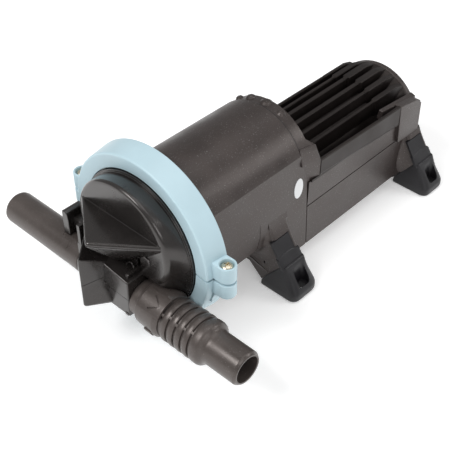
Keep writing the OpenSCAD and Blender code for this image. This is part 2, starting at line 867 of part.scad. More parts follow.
// Side wall of the motor housing on one side, up to its ledge below the pump axis
module side_wall(side, ledge) {
    foot_x = side_x + 0.9;
    polygon([[side * (side_x - wall), -ledge], [side * side_x, -ledge],
             [side * foot_x, -seam_z], [side * (foot_x - wall), -seam_z]]);
}

module motor_housing() {
    rim_front = gear_back + gasket_t;
    color(warm_black) {
        along_pump(rim_front, rim_len) above(-seam_z) difference() {
            body_outline(0.8);
            body_outline(0.8 + wall);
        }
        difference() {
            along_pump(rim_back - 4, 4) above(-seam_z) body_outline(1);
            on_motor_axis(rim_back - 5) cylinder(r = motor_bearing_r, h = 8);
            at_screws(rim_back - 5, screw_r + snug, 8);
        }
        along_pump(rim_back - eps, motor_back - rim_back) {
            side_wall(1, right_ledge);
            side_wall(-1, left_ledge);
        }
        along_pump(motor_back - end_wall_t, end_wall_t) intersection() {
            translate([0, -motor_drop]) circle(r = cover_end_r + 2);
            translate([-side_x, -seam_z]) square([2 * side_x, far]);
        }
        // brackets above the rear legs, the right one up to the skirt's top
        block([side_x - wall, bracket_x], [bracket_front, bracket_back], [-seam_z, bracket_z]);
        block([-bracket_x, wall - side_x], [bracket_front, bracket_back], [-seam_z, -left_ledge]);
    }
}

module base_tray() {
    tray_front = gear_back + gasket_t;
    color(warm_black) {
        difference() {
            union() {
                along_pump(tray_front, motor_back - tray_front) below(-seam_z - 0.1) body_outline();
                both_sides() leg(rear_slot_y, rear_leg);
            }
            along_pump(tray_wall_back, motor_back - tray_wall_back - wall) below(-seam_z + 1)
                body_outline(wall);
            at_screws(gear_back, screw_r + snug, 2 * wall);
            on_motor_axis(gear_back) cylinder(r = shaft_r + 1, h = 2 * wall);
        }
        // cradles that carry the motor can
        for (back = [can_front + 14, can_back - 18]) along_pump(back, 4) difference() {
            translate([-can_r, -belly_drop + wall - eps]) square([2 * can_r, belly_drop - seam_z - wall]);
            translate([0, -motor_drop]) circle(r = can_r);
        }
    }
}

cover_front = rim_back + 0.2;
cover_back = motor_back - end_wall_t - 0.2;
skirt_z = 11;
skirt_back = bracket_front - 0.4;
skirt_out = 44;
skirt_front = 141;

fin_step = motor_back - 43;          // from here back the fins are taller and thicker
fin_end_t = 5.4;

// Section of the cooling fins up to a radius about the motor axis
module fins(r, t) {
    for (i = [0 : fin_count - 1]) let (x = r * sin((i - (fin_count - 1) / 2) * fin_turn))
        intersection() {
            translate([x - t / 2, 0]) square([t, far]);
            difference() {
                circle(r = r);
                circle(r = cover_r - 0.6);
            }
        }
}

// The part of a section about the motor axis that lies above the ledges
module above_ledges() {
    translate([0, -motor_drop]) intersection() {
        children();
        union() {
            translate([0, motor_drop - right_ledge + eps]) square([far, far]);
            translate([-far, motor_drop - left_ledge + eps]) square([far + eps, far]);
        }
    }
}

module motor_cover() {
    length = cover_back - cover_front;
    color(cool_black) {
        along_pump(cover_front, length) above_ledges() {
            difference() {
                circle(r = cover_r);
                circle(r = cover_r - cover_wall);
            }
            fins(fin_r, fin_t);
        }
        along_pump(fin_step, cover_back - fin_step) above_ledges() fins(cover_end_r, fin_end_t);
        // right skirt and the shelves that lie on the housing's walls
        block([cover_r - 9, skirt_out], [cover_front, skirt_back],
              [-right_ledge + eps, 2 - right_ledge]);
        block([skirt_out - 2.4, skirt_out], [skirt_front, skirt_back],
              [-right_ledge + eps, skirt_z]);
        block([-skirt_out, 5 - cover_r], [cover_front, skirt_back],
              [-left_ledge + eps, 2 - left_ledge]);
        // solid end that the fins run out into
        along_pump(cover_back - 8, 8) above_ledges() difference() {
            circle(r = cover_end_r);
            circle(r = cover_r - cover_wall);
        }
    }
}

// ---------------------------------------------------------------- small parts

// Screws through the rim's rear wall and the tray's front wall into the gear housing
module housing_screws() {
    color(zinc) both_sides() {
        translate([high_screw[0], ring_y + rim_back, axis_h + high_screw[1]]) rotate([-90, 0, 0])
            pan_screw(2 * screw_r, 3.4, 2.4, rim_back - gear_back + screw_grip);
        translate([low_screw[0], ring_y + tray_wall_back, axis_h + low_screw[1]]) rotate([-90, 0, 0])
            pan_screw(2 * screw_r, 3.4, 2.4, tray_wall_back - gear_back + screw_grip);
    }
}

module cable_gland() {
    color(cool_black) translate([-12, ring_y + motor_back, axis_h - motor_drop + 12])
        rotate([-90, 0, 0]) difference() {
            union() {
                cylinder(r = 7, h = 3, $fn = 6);
                cylinder(r = 5.2, h = 9);
            }
            translate([0, 0, 1]) cylinder(r = 3, h = 10);
        }
}

dot_z = -3;
dot_y = 115;
dot_h = 17;
dot_w = 9;
dot_t = 0.6;

module inspection_dot() {
    dot_x = shoulder_x + (shoulder_z - dot_z) * wall_slope;
    color("white") translate([dot_x, ring_y + dot_y, axis_h + dot_z])
        rotate([0, 90 - atan(wall_slope), 0]) union() {
            for (s = [-1, 1]) translate([s * (dot_h - dot_w) / 2, 0, 0]) cylinder(d = dot_w, h = dot_t);
            translate([-(dot_h - dot_w) / 2, -dot_w / 2, 0]) cube([dot_h - dot_w, dot_w, dot_t]);
        }
}

// ---------------------------------------------------------------- feet

toe_x = slot_span_x / 2 + foot_toe;
foot_in = base_x + 1.2;

module foot_outline() {
    r = 13;
    union() {
        for (side = [-1, 1]) translate([toe_x - r, side * (foot_half - r)]) circle(r = r, $fn = 48);
        translate([foot_in, -foot_half]) square([toe_x - r - foot_in, 2 * foot_half]);
        translate([foot_in, -foot_half + r]) square([toe_x - foot_in, 2 * (foot_half - r)]);
    }
}

// Rubber foot under a leg, with its slot and the wide recess above it
module foot(side, y, top) {
    color(cool_black) mirror([side < 0 ? 1 : 0, 0, 0]) difference() {
        union() {
            hull() {
                translate([0, y, 0]) linear_extrude(5) foot_outline();
                translate([leg_foot_x - 8, y, foot_h - 1]) union() {
                    for (s = [-1, 1]) translate([0, s * (leg_half - 8), 0])
                        cylinder(r = 8, h = 1, $fn = HULL_FN);
                    translate([-8, -leg_half, 0]) cube([8, 2 * leg_half, 1]);
                }
            }
            intersection() {
                leg_form(y, top);
                translate([tongue_in, y - tongue_half, foot_h - 1])
                    cube([30, 2 * tongue_half, tongue_top - foot_h + 1]);
            }
            // root of the tongue
            translate([tongue_in, y - tongue_half, foot_h - 1])
                cube([leg_foot_x - tongue_in - slip, 2 * tongue_half, 2]);
        }
        // flat inner side beside the body
        translate([foot_in - far, y - far / 2, -1]) cube([far, far, far]);
        translate([slot_span_x / 2, y, 0]) {
            slotted(slot_w, slot_len, -1, 30);
            slotted(slot_w + 5, slot_len + 5, 7, 40);
        }
    }
}

// Slot with round ends, lengthwise across the pump
module slotted(w, len, z, h) {
    translate([0, 0, z]) {
        for (s = [-1, 1]) translate([s * (len - w) / 2, 0, 0]) cylinder(d = w, h = h);
        translate([-(len - w) / 2, -w / 2, 0]) cube([len - w, w, h]);
    }
}

clamp_ring_upper();
clamp_ring_lower();
clamp_screws();
clamp_nuts();
pump_head();
inlet_nozzle();
outlet_nozzle();
inlet_clip();
outlet_clip();
inlet_seat();
inlet_flap();
outlet_seat();
outlet_flap();
diaphragm();
front_plate();
rear_plate();
diaphragm_screw();
connecting_rod();
rod_bearings();
gear_housing();
worm_wheel();
eccentric_shaft();
wheel_bushes();
worm();
motor_shaft();
worm_bush();
armature_core();
windings();
commutator();
motor_can();
magnets();
front_bearing();
rear_bearing();
end_cap();
brush_card();
brushes();
housing_gasket();
motor_housing();
motor_cover();
base_tray();
housing_screws();
cable_gland();
inspection_dot();
foot(1, front_slot_y, front_leg);  // foot_front_right
foot(-1, front_slot_y, front_leg);  // foot_front_left
foot(1, rear_slot_y, rear_leg);  // foot_rear_right
foot(-1, rear_slot_y, rear_leg);  // foot_rear_left
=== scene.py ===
"""Looks of the electric diaphragm pump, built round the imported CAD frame.

Shapes are drawn in millimetres in the pump's own frame: X across the pump towards the
outlet, Y back from the front ridge of the clamp ring, Z up from the pump axis.
"""
import json
import math

import bmesh
import bpy
from mathutils import Matrix, Vector

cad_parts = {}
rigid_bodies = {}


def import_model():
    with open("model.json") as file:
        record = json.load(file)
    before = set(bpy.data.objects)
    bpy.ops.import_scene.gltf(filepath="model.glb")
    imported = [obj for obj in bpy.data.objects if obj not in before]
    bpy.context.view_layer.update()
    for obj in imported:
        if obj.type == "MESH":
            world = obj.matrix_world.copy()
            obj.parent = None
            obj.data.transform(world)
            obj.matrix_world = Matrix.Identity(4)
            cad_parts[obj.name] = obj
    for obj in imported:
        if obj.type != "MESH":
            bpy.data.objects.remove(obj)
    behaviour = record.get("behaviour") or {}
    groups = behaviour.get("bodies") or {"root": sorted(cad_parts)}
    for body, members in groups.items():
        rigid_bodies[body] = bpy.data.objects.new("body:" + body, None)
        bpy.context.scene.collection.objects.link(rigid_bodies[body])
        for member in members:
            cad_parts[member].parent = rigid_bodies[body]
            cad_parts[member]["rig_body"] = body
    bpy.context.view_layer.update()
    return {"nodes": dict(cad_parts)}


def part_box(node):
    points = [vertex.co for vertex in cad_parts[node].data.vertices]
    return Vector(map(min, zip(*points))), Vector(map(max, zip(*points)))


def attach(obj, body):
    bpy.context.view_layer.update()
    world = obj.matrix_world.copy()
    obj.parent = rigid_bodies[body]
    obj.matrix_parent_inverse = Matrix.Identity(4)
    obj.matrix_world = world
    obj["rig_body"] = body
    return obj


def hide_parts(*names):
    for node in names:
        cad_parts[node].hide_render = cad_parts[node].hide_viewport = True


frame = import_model()

# ---------------------------------------- camera
VIEW_AZIMUTH = 42.5
VIEW_ELEVATION = 41.415
VIEW_ROLL = 0.511
VIEW_POINT = Vector((0.0427, -0.1382, 0.0804))
VIEW_DISTANCE = 0.62629
LENS = 72.44
SENSOR_WIDTH = 36
NEAREST = 0.01


def make_camera():
    a, e = math.radians(VIEW_AZIMUTH), math.radians(VIEW_ELEVATION)
    back = Vector((math.sin(a) * math.cos(e), -math.cos(a) * math.cos(e), math.sin(e)))
    data = bpy.data.cameras.new("camera")
    data.lens = LENS
    data.sensor_width = SENSOR_WIDTH
    data.clip_start = NEAREST
    cam = bpy.data.objects.new("camera", data)
    bpy.context.collection.objects.link(cam)
    cam.rotation_mode = "QUATERNION"
    turn = (-back).to_track_quat("-Z", "Y").to_matrix().to_4x4()
    roll = Matrix.Rotation(math.radians(VIEW_ROLL), 4, "Z")
    cam.rotation_quaternion = (turn @ roll).to_quaternion()
    cam.location = VIEW_POINT + back * VIEW_DISTANCE
    bpy.context.scene.camera = cam


make_camera()

# ---------------------------------------- light
WORLD_STRENGTH = 0.36


def light(name, at, target, size, power):
    """Softbox of a given size in metres and power in watts, turned towards target."""
    data = bpy.data.lights.new(name, "AREA")
    data.shape = "RECTANGLE"
    data.size, data.size_y = size
    data.energy = power
    lamp = bpy.data.objects.new(name, data)
    bpy.context.collection.objects.link(lamp)
    lamp.location = at
    lamp.rotation_mode = "QUATERNION"
    lamp.rotation_quaternion = (Vector(target) - Vector(at)).to_track_quat("-Z", "Y")


light("key", (-0.25, -1.0, 1.15), (0, -0.05, 0.05), (0.6, 0.5), 12)
light("side", (1.15, -0.35, 0.75), (0, -0.02, 0.04), (0.7, 0.6), 3.4)
light("back", (0.95, 0.85, 0.8), (0, 0, 0.05), (0.5, 0.5), 3.6)
light("top", (0.1, 0.25, 1.5), (0, 0, 0.05), (1.2, 1.2), 5.5)

world = bpy.data.worlds.new("studio")
world.use_nodes = True
world.node_tree.nodes["Background"].inputs[0].default_value = (1, 1, 1, 1)
world.node_tree.nodes["Background"].inputs[1].default_value = WORLD_STRENGTH
bpy.context.scene.world = world
bpy.context.scene.view_settings.view_transform = "Standard"

# ---------------------------------------- modelling helpers
RING_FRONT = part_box("clamp_ring_upper")[0].y
HEAD_LOW, HEAD_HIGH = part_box("pump_head")
AXIS_HEIGHT = (HEAD_LOW.z + HEAD_HIGH.z) / 2
TO_FRAME = Matrix.Translation((0, RING_FRONT, AXIS_HEIGHT)) @ Matrix.Scale(0.001, 4)
# points nearer than this are one, in millimetres while drawing and in metres when handed over
DRAWN_GAP, FINAL_GAP = 1e-4, 2e-6
# radius that stands for the axis in a turned profile
AXLE = 0.001


def add(bm):
    """Turns a drawn shape into an object."""
    bmesh.ops.remove_doubles(bm, verts=bm.verts, dist=DRAWN_GAP)
    bmesh.ops.recalc_face_normals(bm, faces=bm.faces)
    mesh = bpy.data.meshes.new("part")
    bm.to_mesh(mesh)
    bm.free()
    part = bpy.data.objects.new("part", mesh)
    bpy.context.collection.objects.link(part)
    return part


def apply(part):
    """Puts the result of a part's modifiers into its mesh."""
    depsgraph = bpy.context.evaluated_depsgraph_get()
    mesh = bpy.data.meshes.new_from_object(part.evaluated_get(depsgraph))
    part.modifiers.clear()
    old = part.data
    part.data = mesh
    bpy.data.meshes.remove(old)
    return part


def bevel(part, width, segments=3, angle=35):
    """Rounds the edges that are sharper than angle, in degrees."""
    mod = part.modifiers.new("bevel", "BEVEL")
    mod.width = width
    mod.segments = segments
    mod.limit_method = "ANGLE"
    mod.angle_limit = math.radians(angle)
    mod.use_clamp_overlap = True
    return apply(part)


def combine(part, others, operation):
    """Boolean of a part with others, which are used up."""
    for other in others:
        mod = part.modifiers.new("boolean", "BOOLEAN")
        mod.operation = operation
        mod.solver = "EXACT"
        mod.object = other
        apply(part)
        mesh = other.data
        bpy.data.objects.remove(other)
        bpy.data.meshes.remove(mesh)
    return part


def union(part, *others):
    return combine(part, others, "UNION")


def cut(part, *others):
    return combine(part, others, "DIFFERENCE")


def common(part, *others):
    return combine(part, others, "INTERSECT")


def mirrored(part):
    """Turns a part into its twin on the other side of the pump."""
    part.data.transform(Matrix.Scale(-1, 4, (1, 0, 0)))
    part.data.flip_normals()
    return part


def moved(part, x=0, y=0, z=0):
    part.data.transform(Matrix.Translation((x, y, z)))
    return part


def loft(sections, ring=False):
    """Skin through sections of as many points each, closed by end caps unless it is a ring."""
    bm = bmesh.new()
    rows = [[bm.verts.new(p) for p in section] for section in sections]
    count = len(rows[0])
    pairs = list(zip(rows, rows[1:])) + ([(rows[-1], rows[0])] if ring else [])
    for a, b in pairs:
        for i in range(count):
            j = (i + 1) % count
            bm.faces.new((a[i], a[j], b[j], b[i]))
    if not ring:
        bm.faces.new(rows[0])
        bm.faces.new(rows[-1])
    return add(bm)


def rounded(points, radii, steps=5):
    """A 2D outline with its corners rounded. radii is one number or one for each point."""
    count = len(points)
    if not hasattr(radii, "__len__"):
        radii = [radii] * count
    result = []
    for i, (point, radius) in enumerate(zip(points, radii)):
        p = Vector(point)
        a = Vector(points[i - 1]) - p
        b = Vector(points[(i + 1) % count]) - p
        if radius <= 0:
            result.append(tuple(p))
            continue
        turn = math.pi - a.angle(b)
        reach = min(radius * math.tan(turn / 2), 0.49 * a.length, 0.49 * b.length)
        start, end = p + a.normalized() * reach, p + b.normalized() * reach
        for k in range(steps + 1):
            t = k / steps
            result.append(tuple((1 - t) ** 2 * start + 2 * t * (1 - t) * p + t * t * end))
    return result


def inset(points, amount):
    """A 2D outline moved inwards, for outlines that run counter-clockwise."""
    count = len(points)
    result = []
    for i in range(count):
        p, q, r = (Vector(points[(i + k) % count]) for k in (-1, 0, 1))
        a, b = q - p, r - q
        a = a.normalized() if a.length > 1e-6 else b.normalized()
        b = b.normalized() if b.length > 1e-6 else a
        na, nb = Vector((-a.y, a.x)), Vector((-b.y, b.x))
        n = na + nb
        n = n / max(n.length_squared / 2, 0.35)
        result.append(tuple(q + n * amount))
    return result


# where the rounding of a prism's or rod's end edge turns, as a share of its width
KNEE = 0.3


def prism(outline, start, end, edge, at):
    """Prism between two distances, with rounded end edges; at places an outline's points."""
    if not edge:
        return loft([at(outline, start), at(outline, end)])
    small = inset(outline, edge)
    mid = inset(outline, edge * KNEE)
    return loft([at(small, start), at(mid, start + edge * KNEE), at(outline, start + edge),
                 at(outline, end - edge), at(mid, end - edge * KNEE), at(small, end)])


def along_y(outline, start, end, edge=0.0):
    """Prism of an (x, z) outline along the pump."""
    return prism(outline, start, end, edge, lambda pts, y: [(x, y, z) for x, z in pts])


def along_z(outline, start, end, edge=0.0):
    """Prism of an (x, y) outline upwards."""
    return prism(outline, start, end, edge, lambda pts, z: [(x, y, z) for x, y in pts])


def box(x, y, z, edge=0.0):
    """Block between pairs of x, y and z."""
    block = loft([[(x[i], y[j], z[k]) for i, j in ((0, 0), (1, 0), (1, 1), (0, 1))]
                  for k in (0, 1)])
    return bevel(block, edge) if edge else block


def hull(points):
    """Smallest convex solid round some points."""
    bm = bmesh.new()
    for p in points:
        bm.verts.new(p)
    bmesh.ops.convex_hull(bm, input=bm.verts)
    loose = [v for v in bm.verts if not v.link_faces]
    bmesh.ops.delete(bm, geom=loose, context="VERTS")
    return add(bm)


def turned(r, d, turn, axis="y", centre=(0, 0, 0)):
    """Point at radius r and distance d along an axis through centre; turn is 0 to 1."""
    a = 2 * math.pi * turn
    u, v = r * math.cos(a), r * math.sin(a)
    point = {"x": (d, u, v), "y": (u, d, v), "z": (u, v, d)}[axis]
    return tuple(c + p for c, p in zip(centre, point))


def revolve(profile, axis="y", centre=(0, 0, 0), steps=128):
    """Closed profile of (radius, distance) turned about an axis through centre."""
    return loft([[turned(r, d, i / steps, axis, centre) for r, d in profile]
                 for i in range(steps)], ring=True)


def rod(radius, start, end, axis="y", centre=(0, 0, 0), edge=0.0, steps=64):
    """Solid cylinder along an axis, with rounded end edges."""
    profile = [(radius, start), (radius, end)]
    if edge:
        knee = edge * KNEE
        profile = [(radius - edge, start), (radius - knee, start + knee), (radius, start + edge),
                   (radius, end - edge), (radius - knee, end - knee), (radius - edge, end)]
    return loft([[turned(r, d, i / steps, axis, centre) for i in range(steps)]
                 for r, d in profile])


def disc_at(radius, y, z, steps):
    """Points of a circle across the pump."""
    return [turned(radius, y, i / steps, "y", (0, 0, z)) for i in range(steps)]


def circle(radius, centre=(0, 0), start=0, end=360, steps=96):
    """Points of an arc, in degrees; the last point is left out of a full circle."""
    full = end - start >= 360
    angles = [math.radians(start + (end - start) * i / steps)
              for i in range(steps if full else steps + 1)]
    return [(centre[0] + radius * math.cos(a), centre[1] + radius * math.sin(a)) for a in angles]


def piece(name, part, replaced, material, smooth=32):
    """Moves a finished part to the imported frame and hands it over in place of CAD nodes."""
    part.name = name
    part.data.name = name
    part.data.transform(TO_FRAME)
    bm = bmesh.new()
    bm.from_mesh(part.data)
    bmesh.ops.remove_doubles(bm, verts=bm.verts, dist=FINAL_GAP)
    bmesh.ops.dissolve_degenerate(bm, edges=bm.edges, dist=FINAL_GAP / 2)
    for face in bm.faces:
        face.smooth = True
    limit = math.radians(smooth)
    for e in bm.edges:
        e.smooth = len(e.link_faces) == 2 and e.calc_face_angle(0) < limit
    bm.to_mesh(part.data)
    bm.free()
    mod = part.modifiers.new("normals", "WEIGHTED_NORMAL")
    mod.keep_sharp = True
    mod.weight = 50
    part.data.materials.clear()
    part.data.materials.append(material)
    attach(part, frame["nodes"][replaced[0]]["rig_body"])
    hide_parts(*replaced)


# ---------------------------------------- materials
BROAD_SCALE = 45
# noise levels where the painted glints, pale specks in the colour standing for sparkle, begin and
# reach full strength
GLINT_FROM, GLINT_FULL = 0.62, 0.74


def shader(name):
    """A new material with its nodes, its links and its shader."""
    mat = bpy.data.materials.new(name)
    mat.use_nodes = True
    return mat, mat.node_tree.nodes, mat.node_tree.links, mat.node_tree.nodes["Principled BSDF"]


def noise_at(nodes, links, scale, detail, rough=0.5, stretch=(1, 1, 1)):
    """Noise in the piece's own space; scale counts its waves in a metre."""
    coords = nodes.new("ShaderNodeTexCoord")
    mapping = nodes.new("ShaderNodeMapping")
    mapping.inputs["Scale"].default_value = stretch
    tex = nodes.new("ShaderNodeTexNoise")
    tex.inputs["Scale"].default_value = scale
    tex.inputs["Detail"].default_value = detail
    tex.inputs["Roughness"].default_value = rough
    links.new(coords.outputs["Object"], mapping.inputs["Vector"])
    links.new(mapping.outputs["Vector"], tex.inputs["Vector"])
    return tex.outputs["Fac"]


def ramp(nodes, links, source, a, b, low=0.3, high=0.7):
    """Maps source from low-high to the colours or values a-b."""
    node = nodes.new("ShaderNodeValToRGB")
    colour = lambda v: (*v, 1) if hasattr(v, "__len__") else (v, v, v, 1)
    node.color_ramp.elements[0].position = low
    node.color_ramp.elements[1].position = high
    node.color_ramp.elements[0].color = colour(a)
    node.color_ramp.elements[1].color = colour(b)
    links.new(source, node.inputs["Fac"])
    return node.outputs["Color"]


def bump_from(nodes, links, height, distance, strength=0.5):
    """Bump of a distance in metres."""
    bump = nodes.new("ShaderNodeBump")
    bump.inputs["Strength"].default_value = strength
    bump.inputs["Distance"].default_value = distance
    links.new(height, bump.inputs["Height"])
    return bump


def moulded(name, colour, roughness, grain=0.5, depth=0.03, mottle=0.2, spread=0.08,
            specular=0.5, sparkle=0.0, waves=0.0, warmth=0.0):
    """Moulded plastic or rubber. The grain's size and depth and the waves under it are in mm;
    mottle and spread vary colour and roughness, sparkle adds painted glints as pale specks in the
    colour, and warmth tints the gloss."""
    mat, nodes, links, bsdf = shader(name)
    bsdf.inputs["Specular IOR Level"].default_value = specular
    bsdf.inputs["Specular Tint"].default_value = (1, 1 - 0.7 * warmth, 1 - warmth, 1)
    broad = noise_at(nodes, links, BROAD_SCALE, 4)
    dark = [c * (1 - mottle) for c in colour]
    pale = [c * (1 + mottle) for c in colour]
    base = ramp(nodes, links, broad, dark, pale)
    fine = noise_at(nodes, links, 1000 / grain, 3, 0.6)
    if sparkle:
        # painted glints: pale specks added into the base colour to stand for the grain's sparkle
        # highlights
        painted_glint = ramp(nodes, links, fine, 0.0, sparkle, GLINT_FROM, GLINT_FULL)
        mix = nodes.new("ShaderNodeMix")
        mix.data_type = "RGBA"
        mix.blend_type = "ADD"
        mix.inputs[0].default_value = 1
        links.new(base, mix.inputs[6])
        links.new(painted_glint, mix.inputs[7])
        base = mix.outputs[2]
    links.new(base, bsdf.inputs["Base Color"])
    links.new(ramp(nodes, links, broad, roughness - spread, roughness + spread),
              bsdf.inputs["Roughness"])
    bump = bump_from(nodes, links, fine, depth / 1000)
    if waves:
        slow = bump_from(nodes, links, noise_at(nodes, links, 2 * BROAD_SCALE, 1), waves / 1000)
        links.new(slow.outputs["Normal"], bump.inputs["Normal"])
    links.new(bump.outputs["Normal"], bsdf.inputs["Normal"])
    return mat


def metal(name, colour, roughness, stretch=(1, 1, 1), grain=0.3, mottle=0.15):
    """Bare or plated metal with a fine grain in mm, drawn out along an axis by stretch."""
    mat, nodes, links, bsdf = shader(name)
    bsdf.inputs["Metallic"].default_value = 1
    fine = noise_at(nodes, links, 1000 / grain, 3, 0.6, stretch)
    broad = noise_at(nodes, links, 120, 4)
    dark = [c * (1 - mottle) for c in colour]
    pale = [min(c * (1 + mottle), 1) for c in colour]
    links.new(ramp(nodes, links, broad, dark, pale), bsdf.inputs["Base Color"])
    links.new(ramp(nodes, links, fine, roughness * 0.7, roughness * 1.3), bsdf.inputs["Roughness"])
    bump = bump_from(nodes, links, fine, 0.00002, 0.3)
    links.new(bump.outputs["Normal"], bsdf.inputs["Normal"])
    return mat


BLUE = moulded("blue_moulding", (0.455, 0.605, 0.665), 0.34, depth=0.012, mottle=0.03,
               spread=0.05, specular=0.4)
HEAD = moulded("head_moulding", (0.0125, 0.0108, 0.0102), 0.25, depth=0.02, spread=0.06,
               specular=0.6, waves=0.12, warmth=0.08)
HEAD.node_tree.nodes["Principled BSDF"].inputs["Coat Weight"].default_value = 0.3
HEAD.node_tree.nodes["Principled BSDF"].inputs["Coat Roughness"].default_value = 0.12
NOZZLE = moulded("nozzle_moulding", (0.056, 0.0465, 0.0425), 0.34, grain=0.8, depth=0.12,
                 specular=0.6, sparkle=0.1, warmth=0.13)
BODY = moulded("body_moulding", (0.0285, 0.0220, 0.0205), 0.37, grain=0.9, depth=0.17,
               spread=0.07, specular=0.6, sparkle=0.16, warmth=0.13)
COVER = moulded("cover_moulding", (0.0105, 0.0082, 0.0076), 0.42, specular=0.35, warmth=0.16)
RUBBER = moulded("boot_rubber", (0.0085, 0.0078, 0.0098), 0.42, depth=0.04, specular=0.45,
                 sparkle=0.02)
SOFT = moulded("soft_rubber", (0.012, 0.012, 0.012), 0.6, grain=0.6, specular=0.4)
INNER = moulded("inner_moulding", (0.06, 0.058, 0.056), 0.42, mottle=0.1, spread=0.06)
NYLON = moulded("wheel_nylon", (0.62, 0.58, 0.50), 0.4, depth=0.02, mottle=0.06, spread=0.06)
FERRITE = moulded("ferrite", (0.03, 0.03, 0.034), 0.55, grain=0.3, spread=0.1)
CARD = moulded("fibre_card", (0.22, 0.13, 0.06), 0.5, grain=0.4, depth=0.02, mottle=0.15,
               spread=0.05, specular=0.4)
STICKER = moulded("sticker", (0.72, 0.73, 0.74), 0.35, grain=1.2, depth=0.01, mottle=0.05,
                  spread=0.1)
SCREW = metal("zinc_plate", (0.72, 0.66, 0.52), 0.28)
STEEL = metal("steel", (0.55, 0.56, 0.58), 0.3, (1, 0.1, 1))
BRONZE = metal("bronze", (0.62, 0.40, 0.20), 0.35)
COPPER = metal("copper", (0.75, 0.36, 0.20), 0.3, (1, 1, 6))

SLOT_LOOK = {"blue_ring": BLUE, "zinc_screws": SCREW, "head_black": HEAD, "nozzle_grey": NOZZLE,
             "body_black": BODY, "cover_black": COVER, "foot_rubber": RUBBER, "soft_rubber": SOFT,
             "inner_plastic": INNER, "wheel_nylon": NYLON, "steel": STEEL, "bronze": BRONZE,
             "copper": COPPER, "ferrite": FERRITE, "card": CARD, "white_dot": STICKER}


def dress_frame():
    """Gives every carried-over CAD node the look of its material slot."""
    for node in frame["nodes"].values():
        for holder in node.material_slots:
            key = holder.material.name.split(".")[0] if holder.material else ""
            if key in SLOT_LOOK:
                holder.material = SLOT_LOOK[key]


dress_frame()

# ---------------------------------------- clamp ring
HOLE_R, FRONT_R, BACK_R, RING_LEN = 52.5, 63.9, 65.9, 18.2
SPLIT = 0.8
LUG_X, LUG_Y, LUG_R, LUG_TOP, LUG_FOOT = 70.6, 11.5, 6.6, 13.8, -12.6
SEAT_DEPTH, SCREW_HOLE_R, NUT_R = 3.4, 2.7, 4.8


def ring_body():
    """Whole ring: conical front, hollow behind, with a groove for the head's flange."""
    section = rounded(
        [(HOLE_R, 0.9), (FRONT_R - 0.3, 0), (BACK_R, RING_LEN), (57.5, RING_LEN), (57.5, 14.6),
         (61.6, 14.6), (61.6, 3.1), (HOLE_R, 3.1)],
        [0.5, 1.7, 0.9, 0.4, 0, 0, 0, 0.3], 6)
    return revolve(section, "y", steps=192)


def lug(side, low, high):
    """Half lug with a rounded end, from low to high, with its web into the ring."""
    end = circle(LUG_R, (LUG_X, LUG_Y), -90, 90, 24)
    outline = [(56, LUG_Y - LUG_R)] + end + [(56, LUG_Y + LUG_R - 0.4)]
    part = along_z(outline, low, high, 1.1)
    if low < 0:
        web = [(70.5, low + 1.5), (56, low + 1.5), (56, low - 11)]
        web += [(61.8 + 8.7 * (1 - math.cos(a)), low - 11 + 11.2 * math.sin(a))
                for a in (math.radians(d) for d in range(0, 91, 9))]
        web = along_y(web, LUG_Y - LUG_R + 1.2, LUG_Y + LUG_R - 1.4)
        part = union(part, bevel(web, 0.5, 2, 50))
    part = cut(part, rod(63.2, -2, 20, "y", steps=128),
               rod(SCREW_HOLE_R, low - 1, high + 1, "z", (LUG_X, LUG_Y, 0)))
    if low > 0:
        seat = high - SEAT_DEPTH
        pocket = [(AXLE, seat), (5, seat), (5, high - 0.6), (5.6, high + 0.01), (5.6, high + 2),
                  (AXLE, high + 2)]
        part = cut(part, revolve(pocket, "z", (LUG_X, LUG_Y, 0), 48))
    else:
        # seat of the hexagon nut
        hexagon = circle(NUT_R, (LUG_X, LUG_Y), steps=6)
        part = cut(part, along_z(hexagon, low - 1, low + 4))
    return part if side > 0 else mirrored(part)


def ring_half(low):
    """Upper half of the ring for a low above 0, else the lower half."""
    part = ring_body()
    if low > 0:
        part = common(part, box((-90, 90), (-5, 25), (SPLIT, 90)))
        lugs = [lug(s, SPLIT, LUG_TOP) for s in (1, -1)]
    else:
        part = common(part, box((-90, 90), (-5, 25), (-90, -SPLIT)))
        lugs = [lug(s, LUG_FOOT, -SPLIT) for s in (1, -1)]
    return union(part, *lugs)


def clamp_screw(side):
    """Domed head with a cross recess, and its shank."""
    head_z = LUG_TOP - SEAT_DEPTH
    profile = [(AXLE, 0), (4.2, 0), (4.2, 0.9), (3.9, 1.6), (3.3, 2.15), (2.4, 2.5), (1.2, 2.66),
               (AXLE, 2.7)]
    head = revolve([(r, head_z + d) for r, d in profile], "z", (LUG_X, LUG_Y, 0), 48)
    for turn in (12, 102):
        blade = box((-2.3, 2.3), (-0.42, 0.42), (head_z + 1.2, head_z + 4))
        blade.data.transform(Matrix.Rotation(math.radians(turn), 4, "Z"))
        head = cut(head, moved(blade, LUG_X, LUG_Y))
    shank = rod(2.5, -12.1, head_z + 0.2, "z", (LUG_X, LUG_Y, 0), 0.4)
    part = union(head, shank)
    return part if side > 0 else mirrored(part)


def join(parts):
    """Several solids kept apart in one mesh."""
    bm = bmesh.new()
    for part in parts:
        bm.from_mesh(part.data)
        mesh = part.data
        bpy.data.objects.remove(part)
        bpy.data.meshes.remove(mesh)
    return add(bm)


piece("ring_upper", ring_half(SPLIT), ["clamp_ring_upper"], BLUE)
piece("ring_lower", ring_half(-SPLIT), ["clamp_ring_lower"], BLUE)
piece("ring_screws", join([clamp_screw(s) for s in (1, -1)]), ["clamp_screws"],
      SCREW)

# ---------------------------------------- pump head
PORT_Y, PORT_Z = -17.2, -28.8
PORT = (0, PORT_Y, PORT_Z)
DOME_R, ARC_R, ARC_RISE, FACE_Y = 50.0, 42.8, 9.9, -15.3
DECK_Z = 24.5
# cosine and sine of the slant of the prow's sides
PROW_COS, PROW_SIN = 0.79, 0.61
HEAD_STEPS = 144
PLUG_R, PIPE_SOCKET_R, PORT_BORE = 17.7, 13.35, 9.2
